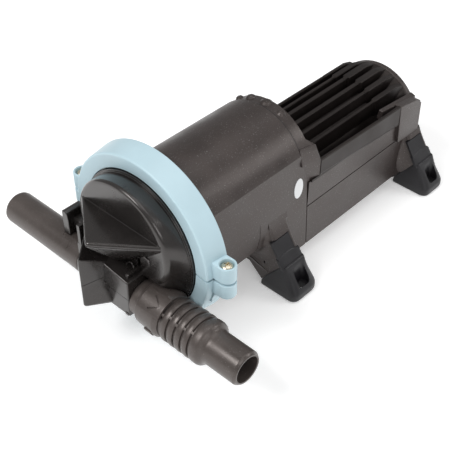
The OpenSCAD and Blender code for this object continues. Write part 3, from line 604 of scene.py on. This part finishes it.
# the slots of the spring clips, across the nozzles' plugs
CLIP_SLOT_Y, CLIP_SLOT_Z = (-27.35, -7.05), (-31.95, 10)


def dome():
    """Cone with a rounded shoulder from the flange to the flat face, which sits higher."""
    ring = [(DOME_R, 1.0, 0.0), (DOME_R, -1.4, 0.0)]
    corner = Vector((ARC_R, FACE_Y, ARC_RISE))
    start = Vector((DOME_R, -1.4, 0))
    back = (start - corner).normalized() * 4.0
    flat = Vector((ARC_R - 3.4, FACE_Y, ARC_RISE))
    for k in range(9):
        t = k / 8
        ring.append(tuple((1 - t) ** 2 * (corner + back) + 2 * t * (1 - t) * corner + t * t * flat))
    return loft([disc_at(r, y, c, HEAD_STEPS) for r, y, c in ring])


def prow():
    """Pointed deck with a bead along its rim, undercut down to the keel."""
    def outline(apex, half, shrink):
        pts = [(-half, -10), (-half, -14.4), (0, -apex), (half, -14.4), (half, -10)]
        return inset(rounded(pts, [0, 1.6, 3.0, 1.6, 0], 6), shrink)
    levels = [(DECK_Z - drop, 35.6, shrink) for drop, shrink in
              ((0, 1.9), (0.25, 1.0), (0.75, 0.35), (1.5, 0), (2.3, 0), (2.45, 0.3), (2.9, 0.3),
               (3.05, 0))]
    levels += [(20.6, 35.4, 0), (16, 32.4, 0), (11, 29.0, 0), (6, 25.6, 0), (1, 22.0, 0),
               (-4, 18.4, 0), (-8, 15.4, 0)]
    sections = []
    for z, d, shrink in levels:
        apex, half = d / PROW_COS, max((d - 11.5) / PROW_SIN, 4)
        sections.append([(x, y, z) for x, y in outline(apex, half, shrink)])
    return loft(sections)


def keel():
    """Inlet side of the head's foot, with a sloping top and a parting line round it."""
    pts = [(-7.4, -47.9), (2.2, -33.7), (9.5, -23), (9.5, -5), (-31, -5), (-31, -18), (-22.6, -29)]
    tops = [7.4, -0.8, -7.2, -7.2, 4, 5, 7.4]
    outline = rounded(pts, [2.2, 0.5, 0.5, 0, 0, 1, 1], 5)

    def top(p):
        near = sorted((math.hypot(p[0] - q[0], p[1] - q[1]), t) for q, t in zip(pts, tops))
        (d0, t0), (d1, t1) = near[0], near[1]
        return (t0 * d1 + t1 * d0) / (d0 + d1 + 1e-9)

    def slim(p, z):
        """Draws the side beside the valve box in, above its flared foot."""
        amount = min(max((z + 37) / 13, 0), 1)
        side = min(max(p[1] + 47.9, 0) * 0.437, 10.9) if p[0] > -7.4 else 0
        return (p[0] - amount * side, p[1])

    sections = []
    for z, shrink in ((-37.6, 2.0), (-37.0, 0.8), (-35.6, 0.0), (-30, 0), (-24, 0), (-17.7, 0),
                      (-17.5, 0.22), (-17.1, 0.22), (-16.9, 0), (-13, 0)):
        sections.append([(*slim(p, z), z) for p in inset(outline, shrink)])
    for drop, shrink in ((1.2, 0), (0.4, 0.25), (0, 1.1)):
        small = inset(outline, shrink)
        sections.append([(*slim(q, 0), top(p) - drop) for q, p in zip(small, outline)])
    return loft(sections)


def valve_box():
    """Outlet side of the head's foot, with its parting line and hinge pin's hole."""
    part = bevel(hull([(x, y, z) for y in (-30.5, -5) for x, z in
                       ((-7, -39.5), (20.5, -39.5), (20.5, -8.2), (-7, -4.6))]), 1.3, 4, 30)
    parting = cut(box((-4.5, 21.5), (-31, -4), (-24.0, -23.6)),
                  box((-3.3, 20.2), (-30.2, -4), (-25, -22)))
    hinge = rod(0.55, -30.9, -29, "y", (1.6, 0, -24.4), 0.1, 24)
    return cut(part, parting, hinge)


def head():
    """The whole head, hollowed for the pumping chamber and the ports."""
    part = revolve([(AXLE, 3.4), (60.5, 3.4), (60.5, 7.2), (AXLE, 7.2)], "y", steps=HEAD_STEPS)
    lip = rounded([(46, 3.8), (51.9, 3.8), (51.9, -0.5), (51.0, -0.5), (51.0, -1.3), (46, -1.3)],
                  [0, 0, 0.5, 0.1, 0.5, 0], 4)
    part = union(part, revolve(lip, "y", steps=HEAD_STEPS), dome(), prow(), keel())
    outlet_box = valve_box()
    tab = box((16.4, 19.4), (-31.0, -29), (-38.9, -36.6), 0.4)
    dash = box((-3.3, -1.0), (-31.0, -29), (-22.2, -21.3), 0.25)
    second = box((8, 20.2), (-14.5, -1.5), (-24, -4.8), 0.8)
    side = box((-33.2, -21), (-27.5, -6), (-30, -6), 1.0)
    side_tab = bevel(along_y(rounded([(-33, -6.5), (-27, -6.5), (-27, -3.2), (-33, -3.2)],
                                     [0, 0, 1.4, 1.4]), -13, -9), 0.4)
    boss = rod(4.6, -16.4, -6, "y", (23.0, 0, 3.5), 0.8, 48)
    inlet_boss = rod(12.9, -34, -19, "x", PORT, 0.6, 96)
    tower = [(-56.6, -24), (-50.4, -24), (-50.4, -2), (-51.2, 3.4), (-53.6, 4.6), (-56.6, 4)]
    tower = bevel(along_y(rounded(tower, [0, 0, 3, 2, 1, 0.8], 5), -20.4, -5), 0.7, 3, 40)
    tower = union(tower, box((-53, -38), (-15, -6.4), (-24, -2), 0.8))
    crease = rod(0.42, -37, 38, "x", (0, -15.35, DECK_Z + 0.02), 0, 16)
    part = union(part, outlet_box, tab, dash, second, side, side_tab, boss, inlet_boss, tower,
                 crease)
    # pumping chamber and the room for the nozzles
    inner = [disc_at(r, y, c, 96) for r, y, c in
             ((45.5, 8, 0), (45.5, 0, 0), (39.3, FACE_Y + 3.5, ARC_RISE))]
    chamber = cut(loft(inner), rod(19.5, -100, 100, "x", PORT, 0, 96))
    return cut(part, chamber, rod(PLUG_R, 20.7, 120, "x", PORT, 0, 96),
               rod(PIPE_SOCKET_R, -120, -34.2, "x", (0, PORT_Y, PORT_Z + 0.5), 0, 96),
               rod(PORT_BORE, -8, 60, "x", PORT), rod(PORT_BORE, -60, -9.5, "x", PORT),
               box((14.85, 17.55), CLIP_SLOT_Y, CLIP_SLOT_Z),
               box((-31.55, -28.85), CLIP_SLOT_Y, CLIP_SLOT_Z))


WIRE_R, ARCH_STEPS = 0.55, 14
TAIL_R, TAIL_BORE = 12.5, 9.5
RIB_START, RIB_PITCH, RIBS = 50.95, 6.48, 5


def clip(x, arches):
    """Spring clip dropped over a nozzle's plug, with wire arches over the valve box."""
    low, high = -31.8, -5
    outline = rounded([(-27.1, low), (-25.6, low), (-25.6, -24), (PORT_Y - 6, -20),
                       (PORT_Y + 6, -20), (-8.8, -24), (-8.8, low), (-7.3, low), (-7.3, high),
                       (-27.1, high)],
                      [0.4, 0.4, 1, 2, 2, 1, 0.4, 0.4, 2, 2])
    part = loft([[(x + d, y, z) for y, z in outline] for d in (0, 2.4)])
    part = bevel(part, 0.35, 2, 50)
    for y, reach in arches:
        path = [(x - reach * t, y + 0.8 * math.sin(math.pi * t),
                 high - 1.6 + 3.6 * math.sin(math.pi * t) ** 0.7)
                for t in (k / ARCH_STEPS for k in range(ARCH_STEPS + 1))]
        sections = []
        for k, p in enumerate(path):
            a, b = Vector(path[max(k - 1, 0)]), Vector(path[min(k + 1, ARCH_STEPS)])
            d = (b - a).normalized()
            u = d.cross(Vector((0, 1, 0))).normalized()
            v = d.cross(u)
            sections.append([tuple(Vector(p) + WIRE_R * (math.cos(t) * u + math.sin(t) * v))
                             for t in (2 * math.pi * i / 12 for i in range(12))])
        part = union(part, loft(sections))
    return part


def sector(r0, r1, x0, x1, mid, half):
    """Block round the outlet between two radii, spread half each way from an angle in degrees."""
    outer = [(r1, mid + half * (1 - k / 6)) for k in range(13)]
    inner = [(r0, mid - half * (1 - k / 6)) for k in range(13)]
    return loft([[turned(r, x, a / 360, "x", PORT) for r, a in outer + inner] for x in (x0, x1)])


def outlet():
    """Plug, collar, bellows and hose tail, with the arrow pad and marks on them."""
    profile = [(6.6, 14), (9.05, 14), (9.05, 20.75), (13.5, 20.75), (13.5, 26.6), (13.9, 27.6),
               (15.4, 28.1), (15.9, 28.6), (16.9, 40), (17.2, 45), (17.15, 46.0), (16.0, 48.2),
               (15.5, 48.9), (14.6, 49.2)]
    for i in range(RIBS):
        x = RIB_START + RIB_PITCH * i
        profile += [(14.5, x - 0.75), (14.5, x + 0.75), (15.7, x + 1.0), (16.1, x + 1.6),
                    (16.3, x + 3.2), (16.1, x + 4.9), (15.7, x + 5.45)]
    profile = profile[:-3]
    profile += [(16.3, 80.0), (16.25, 82.5), (15.9, 84.0), (15.0, 85.2), (14.0, 85.9), (13.1, 86.8),
                (12.65, 88.2), (TAIL_R, 90), (TAIL_R, 112.6), (12.2, 113.3), (11.3, 114.2),
                (11.2, 114.45), (10.95, 114.9), (10.6, 115), (9.75, 114.85), (TAIL_BORE, 114.3),
                (TAIL_BORE, 40), (6.6, 24)]
    part = revolve(profile, "x", PORT, 160)
    pad = bevel(sector(15, 17.75, 30.5, 50.2, 122, 27), 0.4, 2, 50)
    # flow arrow cut into the pad, one stroke each way from its tip
    for turn in (1, -1):
        bars = []
        for k in range(7):
            x = 47.2 - 1.15 * k
            bars.append(sector(17.0, 19, x - 1.5, x + 0.3, 123 + turn * (2.0 + 2.2 * k), 1.4))
        pad = cut(pad, *bars)
    ticks = []
    for i, lean in enumerate((3, -2, 4, 0, -3)):
        x = RIB_START + RIB_PITCH * i
        ticks.append(bevel(sector(14.2, 16.35, x - 1.3, x + 1.3, 130 + lean, 3.4), 0.25, 1, 50))
    tab = bevel(sector(15.0, 18.0, 38, 44.5, 206, 10), 0.5, 2, 50)
    return union(part, pad, tab, *ticks)


def inlet():
    """Plain pipe with its plug."""
    profile = [(6.6, 29.4), (9.05, 29.4), (9.05, 34.2), (12.3, 34.2), (12.8, 34.8), (12.8, 38),
               (12.68, 39), (TAIL_R, 80), (TAIL_R, 113.4), (12.2, 114.9), (11.5, 115.75),
               (10.6, 116.05), (9.9, 115.8), (TAIL_BORE, 115), (TAIL_BORE, 46), (6.6, 38)]
    return moved(revolve([(r, -d) for r, d in profile], "x", PORT, 128), z=0.6)


piece("head", head(), ["pump_head"], HEAD, 28)
piece("outlet_clip_piece", clip(15, ((-19, 7.5), (-14.5, 7.5))), ["outlet_clip"],
      HEAD)
piece("inlet_clip_piece", clip(-31.4, ()), ["inlet_clip"], HEAD)
piece("outlet_tail", outlet(), ["outlet_nozzle"], NOZZLE)
piece("inlet_tail", inlet(), ["inlet_nozzle"], NOZZLE)

# ---------------------------------------- body
CROWN_R, CROWN_Z, SHOULDER_X, BASE_X, BELLY = 43.8, 5.0, 40.0, 44.0, -63.5
SHOULDER_Z = CROWN_Z + math.sqrt(CROWN_R ** 2 - SHOULDER_X ** 2)
WALL = 3.0
GEAR_BACK, SIDE_BACK, RIM_BACK, BODY_BACK = 121.0, 130.0, 132.0, 276.0
SEAM_Z, MOTOR_Z = -27.0, -25.0
TRAY_TOP, LEG_TOP = -27.8, -27.2
DRUM_R, DRUM_Z = 52.5, -3.0
FRONT_FOOT, REAR_FOOT = 97.0, 268.0
LEG_FRONT, LEG_REAR = -11, 9.2
# places of the housing screws, and radii of their cores, bosses and holes
TOP_SCREW, LOW_SCREW = (34, 20), (37, -56)
SCREW_CORE, BOSS_R, TOP_HOLE, LOW_HOLE = 1.85, 4.6, 2.1, 2.0
SHAFT_HOLE, SHAFT_SEAT = 4, 5.5
TONGUE_GAP, TONGUE_DEPTH = 0.35, 2.0
SLOT_X = 66.8


def wall_x(z):
    """Half width of the body at a height: its side walls lean out downwards."""
    return SHOULDER_X + (SHOULDER_Z - z) * (BASE_X - SHOULDER_X) / (SHOULDER_Z - BELLY)


def body_outline(shrink=0.0, low=BELLY):
    """Cross-section of the body, counter-clockwise from its lower left corner."""
    r = CROWN_R - shrink
    x = SHOULDER_X - shrink
    start = math.degrees(math.acos(min(x / r, 1)))
    sides = [(-(wall_x(low) - shrink), low), (wall_x(low) - shrink, low)]
    return sides + circle(r, (0, CROWN_Z), start, 180 - start, 56)


def drum_cutter():
    """Takes the corners off the belly ahead of the front legs, with a hollow rounding."""
    sections = []
    for y, r in [(14.1, DRUM_R), (79, DRUM_R)] + [
            (79 + 7 * math.sin(a), DRUM_R + 7 * (1 - math.cos(a)))
            for a in (math.radians(t) for t in range(15, 91, 15))]:
        outline = [(-75, -5), (-75, -95), (75, -95), (75, -5)]
        outline += circle(r, (0, DRUM_Z), -10, -170, 40)
        sections.append([(x, y, z) for x, z in outline])
    return loft(sections)


# profile of a leg's outer face: height and reach from the centre plane
LEG_FACE = [(-8, 40.4), (-13, 41.2), (-18, 42.1), (-22, 43.1), (-26, 44.5), (-30, 46.4),
            (-34, 48.7), (-38, 51.4), (-42, 54.0), (-46, 56.6), (-50, 59.2), (-54, 61.8)]


def leg_x(z):
    """Reach of a leg's outer face at a height."""
    for (z0, x0), (z1, x1) in zip(LEG_FACE, LEG_FACE[1:]):
        if z >= z1:
            t = (z0 - z) / (z0 - z1)
            return x0 + (x1 - x0) * max(t, 0)
    return LEG_FACE[-1][1]


def leg_strut(y):
    """Splayed leg from the side wall down to the boot's slanting mouth."""
    profile = [(38, -8)] + [(x, z) for z, x in LEG_FACE if z > -49]
    profile += [(58.2, -49.2), (37.4, -74.6), (24, -62.8), (24, -50)]
    part = along_y(profile[::-1], y + LEG_FRONT, y + LEG_REAR)
    bm = bmesh.new()
    bm.from_mesh(part.data)
    long_edges = [e for e in bm.edges if abs(e.verts[0].co.y - e.verts[1].co.y) < DRAWN_GAP
                  and min(v.co.x for v in e.verts) > 42.5
                  and min(v.co.z for v in e.verts) > -48.9]
    bmesh.ops.bevel(bm, geom=long_edges, offset=3.2, segments=5, profile=0.5, affect="EDGES")
    bm.to_mesh(part.data)
    bm.free()
    return part


def leg_root(y, front):
    """Hollow rounding from the wall to a leg; front lists where it starts by height."""
    sections = []
    for z, start in front:
        drum = DRUM_R ** 2 - (z - DRUM_Z) ** 2
        w = wall_x(z)
        if y == FRONT_FOOT and drum > 0:
            w = min(w, math.sqrt(drum))
        w = max(w, 24) - 0.4
        x1 = max(leg_x(z) - 0.9, w + 0.05)
        y0, y1 = y + start, y + LEG_FRONT + 0.1
        ring = [(w - 6, y0, z)]
        for k in range(11):
            a = math.pi / 2 * k / 10
            ring.append((x1 - (x1 - w) * math.cos(a), y0 + (y1 - y0) * math.sin(a), z))
        ring += [(x1, y1 + 4, z), (w - 6, y1 + 4, z)]
        sections.append(ring)
    return loft(sections)


FRONT_ROOT = [(-12, -20), (-18, -20), (-25, -20.3), (-30, -22), (-34, -24), (-38, -26),
              (-42, -25), (-46, -21), (-50, -17), (-55, -14), (-62.6, -12)]
REAR_ROOT = [(-27.6, -16), (-34, -17), (-40, -19), (-46, -21), (-52, -22), (-58, -19), (-63, -16)]


def legs(y, front):
    """A leg and its rounding on each side, in turn."""
    for side in (1, -1):
        for new in (leg_strut(y), leg_root(y, front)):
            yield new if side > 0 else mirrored(new)


def tongue(y, grow, sink, proud=0.0):
    """A foot's tongue laid into the leg's face, or with grow the room cut for it."""
    rows = []
    for z in (-31.8 + grow * 1.2, -35, -39, -43, -47.4 - grow):
        x1 = leg_x(z) + (6 if grow else proud)
        x0 = leg_x(z) - sink
        f, b = y - 13.2 - grow, y + 5.4 + grow
        rows.append([(x0, f, z), (x1, f, z), (x1, b, z), (x0, b, z)])
    return loft(rows)


def tongue_rooms(y):
    """Room for a foot's tongue on each side, in turn."""
    for side in (1, -1):
        room = tongue(y, TONGUE_GAP, TONGUE_DEPTH)
        yield room if side > 0 else mirrored(room)


def gear_housing():
    """Crowned housing with its flange, front legs and the bosses inside."""
    part = cut(along_y(body_outline(), 11, SIDE_BACK - 0.15, 0.5), drum_cutter())
    part = union(part, *legs(FRONT_FOOT, FRONT_ROOT),
                 revolve([(40, 9.7), (60.5, 9.7), (60.5, 14.1), (40, 14.1)], "y", steps=128))
    # room that the motor housing's rim lies in, down to the diagonal seam
    rim = loft([[(x, y, z) for y, z in ((GEAR_BACK, 60), (GEAR_BACK, 24), (GEAR_BACK + 1.3, 19.8),
                                        (RIM_BACK, 7.8), (145, 7.8), (145, 60))]
                for x in (-60, 60)])
    inner = body_outline(WALL, BELLY + WALL)
    drum = circle(DRUM_R - WALL, (0, DRUM_Z), steps=90)
    front = common(along_y(inner, 5, 86), along_y(drum, 4, 87))
    part = cut(part, rim, front, along_y(inner, 85.5, 140), *tongue_rooms(FRONT_FOOT))
    # line of the crease where the round front runs into the side wall
    crease = [(77, -11.5), (77, -25), (73.2, -33), (68.8, -38)]
    for (ya, za), (yb, zb) in zip(crease, crease[1:]):
        slope = Vector((yb - ya, zb - za)).normalized() * 0.24
        line = hull([(x, y + s * slope.y, z - s * slope.x) for x in (41.6, 48)
                     for s in (1, -1) for y, z in ((ya, za), (yb - slope.x, zb - slope.y))])
        part = cut(part, line)
    # bosses for the housing screws, the crank bushes and the motor shaft
    inside = []
    for side in (1, -1):
        for x, z in (TOP_SCREW, LOW_SCREW):
            inside.append(rod(BOSS_R, 108, GEAR_BACK, "y", (side * x, 0, z), 0, 32))
        boss = revolve([(6.5, 27), (9.5, 27), (9.5, 40.5), (6.5, 40.5)], "x", (0, 66, 0), 48)
        inside.append(boss if side > 0 else mirrored(boss))
    column = cut(box((-8, 8), (41, 48), (-54.5, -17)),
                 rod(SHAFT_SEAT, 42.8, 50, "y", (0, 0, MOTOR_Z)),
                 rod(SHAFT_HOLE, 35, 50, "y", (0, 0, MOTOR_Z)))
    part = union(part, column, *inside)
    screws = [rod(SCREW_CORE, 110, 125, "y", (s * x, 0, z), 0, 24)
              for s in (1, -1) for x, z in (TOP_SCREW, LOW_SCREW)]
    return cut(part, *screws)


def foot(side, y):
    """Rubber boot: flat sole, splayed toe, slot and recess, and the tongue let into the leg."""
    def outline(x0, x1, half, back, r):
        return rounded([(x0, y - half), (x1, y - half), (x1, y + back), (x0, y + back)],
                       [0.8, r * 0.62, r * 0.95, 0.8], 9)
    rows = []
    for z, x0, x1, half, back, r in (
            (-76.0, 41.6, 72.0, 13.8, 13.6, 10.5), (-75.4, 40.6, 72.9, 14.6, 14.4, 11.0),
            (-74.2, 40.0, 73.4, 15.0, 14.8, 11.2), (-70.6, 40.4, 73.3, 14.8, 14.6, 11.0),
            (-69.2, 41.3, 72.8, 14.6, 14.4, 10.8), (-66, 43.6, 70.9, 14.0, 13.8, 10.4),
            (-60, 48.4, 67.0, 13.0, 12.6, 9.8), (-54, 53.3, 63.2, 12.1, 11.0, 5.2),
            (-50.4, 56.5, 61.2, 11.8, 10.2, 2.6), (-49.4, 57.2, 60.5, 11.6, 9.9, 1.8),
            (-49.0, 57.3, 59.6, 11.2, 9.5, 1.2)):
        rows.append([(px, py, z) for px, py in outline(x0, x1, half, back, r)])
    part = union(loft(rows), leg_cap(y))
    room = rounded([(SLOT_X - 4.2, y - 6.2), (SLOT_X + 4.4, y - 6.2), (SLOT_X + 4.4, y + 5.8),
                    (SLOT_X - 4.2, y + 5.8)], [3.8, 2.6, 3.4, 3.8], 8)
    hole = rounded([(SLOT_X - 3.6, y - 3.5), (SLOT_X + 3.6, y - 3.5), (SLOT_X + 3.6, y + 3.5),
                    (SLOT_X - 3.6, y + 3.5)], 3.45, 8)
    wide = loft([[(px, py, z) for px, py in inset(room, s)] for z, s in
                 ((-69, 0.0), (-58, -0.2), (-30, -0.8))])
    part = cut(part, wide, along_z(hole, -80, -60))
    part = bevel(part, 0.55, 2, 40)
    return part if side > 0 else mirrored(part)


def leg_cap(y):
    """Tongue in the leg's face with its curved shoulder above the boot."""
    pad = tongue(y, 0, 1.9, 0.1)
    rows = []
    for k in range(13):
        t = k / 12
        yy = y - 13.6 + 23.0 * t
        top = -45.4 + 4.0 * math.sin(math.pi * (0.12 + 0.76 * t)) ** 0.9
        edge = 0.6 * (abs(2 * t - 1) ** 6)
        levels = (-51.5, -49.2, (top - 49.2) / 2, top - 0.5, top)
        lifts = zip(levels[::-1], (0.2, 0.55, 0.65, 0.65, 0.65))
        rows.append([(leg_x(z) - 2.6, yy, z) for z in levels]
                    + [(leg_x(z) + lift - edge, yy, z) for z, lift in lifts])
    return union(pad, loft(rows))


def band(r0, r1, start, end):
    """Outline across the pump between two arcs about the motor's axis, in degrees."""
    inner, outer = (circle(r, (0, MOTOR_Z), start, end, 72) for r in (r0, r1))
    return outer + inner[::-1]


RIM_R, RIM_INNER, RIM_LEVEL = 43.0, 38.6, 126.6
MOTOR_WALL = 39.8


def rim_back(x):
    """Where the rim ends: level over the crown, then falling back on the right."""
    return RIM_LEVEL + (13.4 * min((x - 30) / 9.0, 1) ** 1.3 if x > 30 else 0)


def motor_housing():
    """Rim with its knuckles, shoulder, walls and brackets in one."""
    rows = []
    for (x, z), (u, v) in zip(circle(RIM_R, (0, CROWN_Z), 12, 168, 80),
                              circle(RIM_INNER, (0, CROWN_Z), 12, 168, 80)):
        back = rim_back(x)
        row = [(x * share, y, CROWN_Z + (z - CROWN_Z) * share) for share, y in
               ((0.992, GEAR_BACK + 0.3), (1, GEAR_BACK + 1.0), (0.985, back - 0.7), (0.97, back))]
        rows.append(row + [(u, back, v), (u, GEAR_BACK + 0.3, v)])
    part = loft(rows)
    wall_plate = cut(along_y(body_outline(1.2, SEAM_Z), 127.8, RIM_BACK),
                     rod(11, 100, 140, "y", (0, 0, MOTOR_Z), 0, 48))
    frame_part = cut(along_y(body_outline(1.0, SEAM_Z), GEAR_BACK + 1, 128),
                     along_y(body_outline(4.0, SEAM_Z - 10), GEAR_BACK, 129))
    part = union(part, wall_plate, frame_part)
    # right shoulder, falling back to the skirt's front corner
    shoulder = hull([(38.2, 121.4, 27.5), (39.6, 121.4, 23.6), (38.4, 139.6, 23.6),
                     (40.6, 138.0, 20.5), (43.6, 141.2, 10.4), (43.9, 143.6, -3.2),
                     (41.0, 143.6, -5), (35, 139.6, 21.5), (35, 121.4, 24), (36, 143.6, -5),
                     (36, 121.4, -5), (40.2, 121.4, 18), (40.9, 130.3, 8.0), (41.2, 130.3, -5)])
    part = union(part, bevel(shoulder, 0.5, 2, 25))
    right = along_y([(39.4, -26.9), (42.3, -26.9), (42.5, -4.6), (39.4, -4.6)], 130.3, BODY_BACK)
    left = mirrored(along_y([(39.4, -27), (43.2, -27), (42.9, -15), (39.4, -15)], 130.3, BODY_BACK))
    wall = (BODY_BACK - 5, BODY_BACK)
    back_wall = common(rod(MOTOR_WALL, *wall, "y", (0, 0, MOTOR_Z), 0.8, 144),
                       box((-42, 42), (200, 290), (SEAM_Z, 90)))
    back_wall = union(back_wall, box((38, 42), wall, (SEAM_Z, -8), 0.5),
                      box((-42, -38), wall, (SEAM_Z, -15), 0.5))
    # bracket over the rear leg
    bracket = hull([(x, y, z) for x in (39, 45.4) for y, z in
                    ((240.2, 9.4), (262.5, 5.6), (268.9, 2.4), (271.1, -3.6), (271.9, -27),
                     (243, -27))])
    bracket = bevel(bracket, 1.0, 3, 30)
    left_bracket = mirrored(box((39, 45.4), (243, 271.8), (-27, -15), 1.0))
    ridge = bevel(hull([(35, 222, 3), (40, 222, 3), (35, 270, -3), (40, 270, -3),
                        (35.6, 223.4, 10.6), (39.4, 223.4, 10.4), (35.2, 269.5, 5.4),
                        (39.6, 269.5, 4.0)]), 0.7, 3, 30)
    knuckles = []
    for x, half, high in ((-24.5, 3.6, 1.5), (-14.0, 4.6, 1.7), (0.6, 5.4, 1.6), (14.4, 4.2, 1.0)):
        top = math.sqrt(RIM_R ** 2 - x * x) + CROWN_Z + high
        lean = math.degrees(math.asin(-x / RIM_R))
        blob = revolve([(AXLE, -3.4), (half * 0.5, -3.0), (half * 0.85, -1.6), (half, 0),
                        (half * 0.85, 1.6), (half * 0.5, 3.0), (AXLE, 3.4)], "z", (0, 0, 0), 32)
        blob.data.transform(Matrix.Translation((x, 127.6, top - 3.2))
                            @ Matrix.Rotation(math.radians(-lean), 4, "Y"))
        knuckles.append(blob)
    part = union(part, right, left, back_wall, bracket, left_bracket, *knuckles, ridge)
    holes = [rod(TOP_HOLE, 120, 140, "y", (s * TOP_SCREW[0], 0, TOP_SCREW[1]), 0, 24)
             for s in (1, -1)]
    return cut(part, *holes)


def fin_section(x, half, r, ease):
    """Outline of one cooling fin across the pump, thinner towards its top."""
    top = math.sqrt(r * r - x * x) + MOTOR_Z
    root = math.sqrt(36.2 ** 2 - min(abs(x), 35) ** 2) + MOTOR_Z
    return [(x - half * 1.08, root - 6), (x + half * 1.08, root - 6), (x + half, top - ease),
            (x + half - 0.4, top), (x - half + 0.4, top), (x - half, top - ease)]


# each fin's place, its half thickness, and where it thickens towards the back
FINS = [(-26.6, 1.3, 232), (-17.0, 1.3, 233), (-6.8, 1.7, 234.5), (4.8, 1.7, 235), (15.0, 1.3, 233),
        (24.0, 1.2, 231)]
ARCH_IN, ARCH_OUT = 31.6, 33.2


def motor_cover():
    """Arched cover with its fins, closed rear end, right skirt and shelves."""
    y0, y1 = RIM_BACK + 0.2, BODY_BACK - 5.2
    part = along_y(band(ARCH_IN, ARCH_OUT, 15.5, 164.5), y0, y1)
    extra = []
    for i, (x, half, step_y) in enumerate(FINS):
        # the first fin stands higher and doesn't thicken
        front, back, end, swell = (42.2, 42.8, 40.0, 1.7) if i else (44.2, 44.2, 41.6, 1.0)
        slim = fin_section(x, half, front, 0.7)
        wide = fin_section(x, half * swell + 0.2, back, 0.6)
        last = fin_section(x, half * 1.6, end, 0.6)
        extra.append(along_y(slim, y0, 239))
        extra.append(loft([[(px, y, pz) for px, pz in sec] for y, sec in
                           ((step_y, slim), (step_y + 1.6, wide), (260, wide), (y1 - 0.3, last))]))
        # moulding mark at the step
        if i:
            top = math.sqrt(42 ** 2 - x * x) + MOTOR_Z
            extra.append(box((x - 1.0, x + 1.0), (step_y - 2.4, step_y - 0.6),
                             (top - 0.5, top + 0.55), 0.25))
    part = union(part, *extra)
    # closed rear end that the fins run out into
    rows = []
    for y, r in ((255, 33.0), (260, 34.6), (264, 36.6), (267.5, 38.6), (269.5, 39.5), (y1, 39.7)):
        rows.append([(x, y, z) for x, z in band(ARCH_IN, r, 14, 166)])
    part = union(part, loft(rows))
    # right skirt with its rounded lip, and the shelves on the housing's walls
    rows = []
    for y, drop in ((141.2, 0), (143.8, 0.0), (180, 2.0), (215, 4.2), (240, 5.8)):
        x = 44 + (1.2 if y > 200 else 0.6 if y > 170 else 0)
        low, high = -3.2 - drop, 10.9 - drop * 0.25
        sec = rounded([(x - 2.6, -4.4), (x - 0.6, low), (x, low + 1.6), (x, high),
                       (x - 2.6, high + 0.5)], [0, 0.8, 0.8, 1.9, 0.6], 4)
        rows.append([(px, y, pz) for px, pz in sec])
    skirt = loft(rows)
    shelf = box((34.5, 43.6), (y0, 242.4), (-4.95, -3))
    left_shelf = mirrored(box((33.4, 44), (y0, 242.4), (-14.95, -13)))
    return union(part, skirt, shelf, left_shelf)


def base_tray():
    """Tray under the motor with its cradles and rear legs."""
    outline = [(-wall_x(BELLY), BELLY), (wall_x(BELLY), BELLY), (wall_x(TRAY_TOP), TRAY_TOP),
               (-wall_x(TRAY_TOP), TRAY_TOP)]
    part = along_y(outline, SIDE_BACK + 0.15, BODY_BACK, 0.6)
    part = union(part, box((-40.6, 40.6), (122, 131), (-60.4, LEG_TOP)))
    for new in legs(REAR_FOOT, REAR_ROOT):
        part = union(part, common(new, box((-80, 80), (200, 300), (-90, LEG_TOP))))
    inner = [(-wall_x(BELLY) + WALL, BELLY + WALL), (wall_x(BELLY) - WALL, BELLY + WALL),
             (wall_x(SEAM_Z) - WALL, -20), (-wall_x(SEAM_Z) + WALL, -20)]
    part = cut(part, along_y(inner, 125, BODY_BACK - WALL),
               rod(SHAFT_HOLE, 118, 130, "y", (0, 0, MOTOR_Z), 0, 32), *tongue_rooms(REAR_FOOT))
    for y in (146, 218):
        part = union(part, cut(box((-31, 31), (y, y + 4), (-61, -28)),
                               rod(31, y - 2, y + 8, "y", (0, 0, MOTOR_Z), 0, 96)))
    holes = [rod(LOW_HOLE, 118, 130, "y", (s * LOW_SCREW[0], 0, LOW_SCREW[1]), 0, 24)
             for s in (1, -1)]
    return cut(part, *holes)


LEAN = 0.08


def sticker():
    """Plain oval sticker on the right wall, leaning a little."""
    y, z = 119.4, -4.4
    sections = []
    for lift, shrink in ((0, 0), (0.3, 0), (0.42, 0.25)):
        ring = []
        for i in range(48):
            a = 2 * math.pi * i / 48
            u, v = (4.9 - shrink) * math.cos(a), (8.4 - shrink) * math.sin(a)
            u, v = (u * math.cos(LEAN) + v * math.sin(LEAN),
                    -u * math.sin(LEAN) + v * math.cos(LEAN))
            ring.append((wall_x(z + v) - 0.05 + lift, y + u, z + v))
        sections.append(ring)
    return loft(sections)


piece("gear_housing_shell", gear_housing(), ["gear_housing"], BODY, 16)
piece("motor_housing_shell", motor_housing(), ["motor_housing"], BODY, 20)
piece("motor_cover_shell", motor_cover(), ["motor_cover"], COVER, 24)
piece("base_tray_shell", base_tray(), ["base_tray"], BODY, 20)
for label, side, y in (("foot_front_right", 1, FRONT_FOOT), ("foot_front_left", -1, FRONT_FOOT),
                       ("foot_rear_right", 1, REAR_FOOT), ("foot_rear_left", -1, REAR_FOOT)):
    piece(label + "_boot", foot(side, y), [label], RUBBER, 40)
piece("round_sticker", sticker(), ["inspection_dot"], STICKER)

# ---------------------------------------- studio floor
FLOOR_HALF = 3
mesh = bpy.data.meshes.new("floor")
mesh.from_pydata([(x * FLOOR_HALF, y * FLOOR_HALF, 0) for x, y in
                  ((-1, -1), (1, -1), (1, 1), (-1, 1))], [], [(0, 1, 2, 3)])
floor = bpy.data.objects.new("floor", mesh)
bpy.context.collection.objects.link(floor)
floor_look = shader("floor")[0]
for socket, value in (("Base Color", (0.95, 0.95, 0.95, 1)), ("Emission Color", (1, 1, 1, 1)),
                      ("Emission Strength", 0.3), ("Roughness", 0.6)):
    floor_look.node_tree.nodes["Principled BSDF"].inputs[socket].default_value = value
floor.data.materials.append(floor_look)
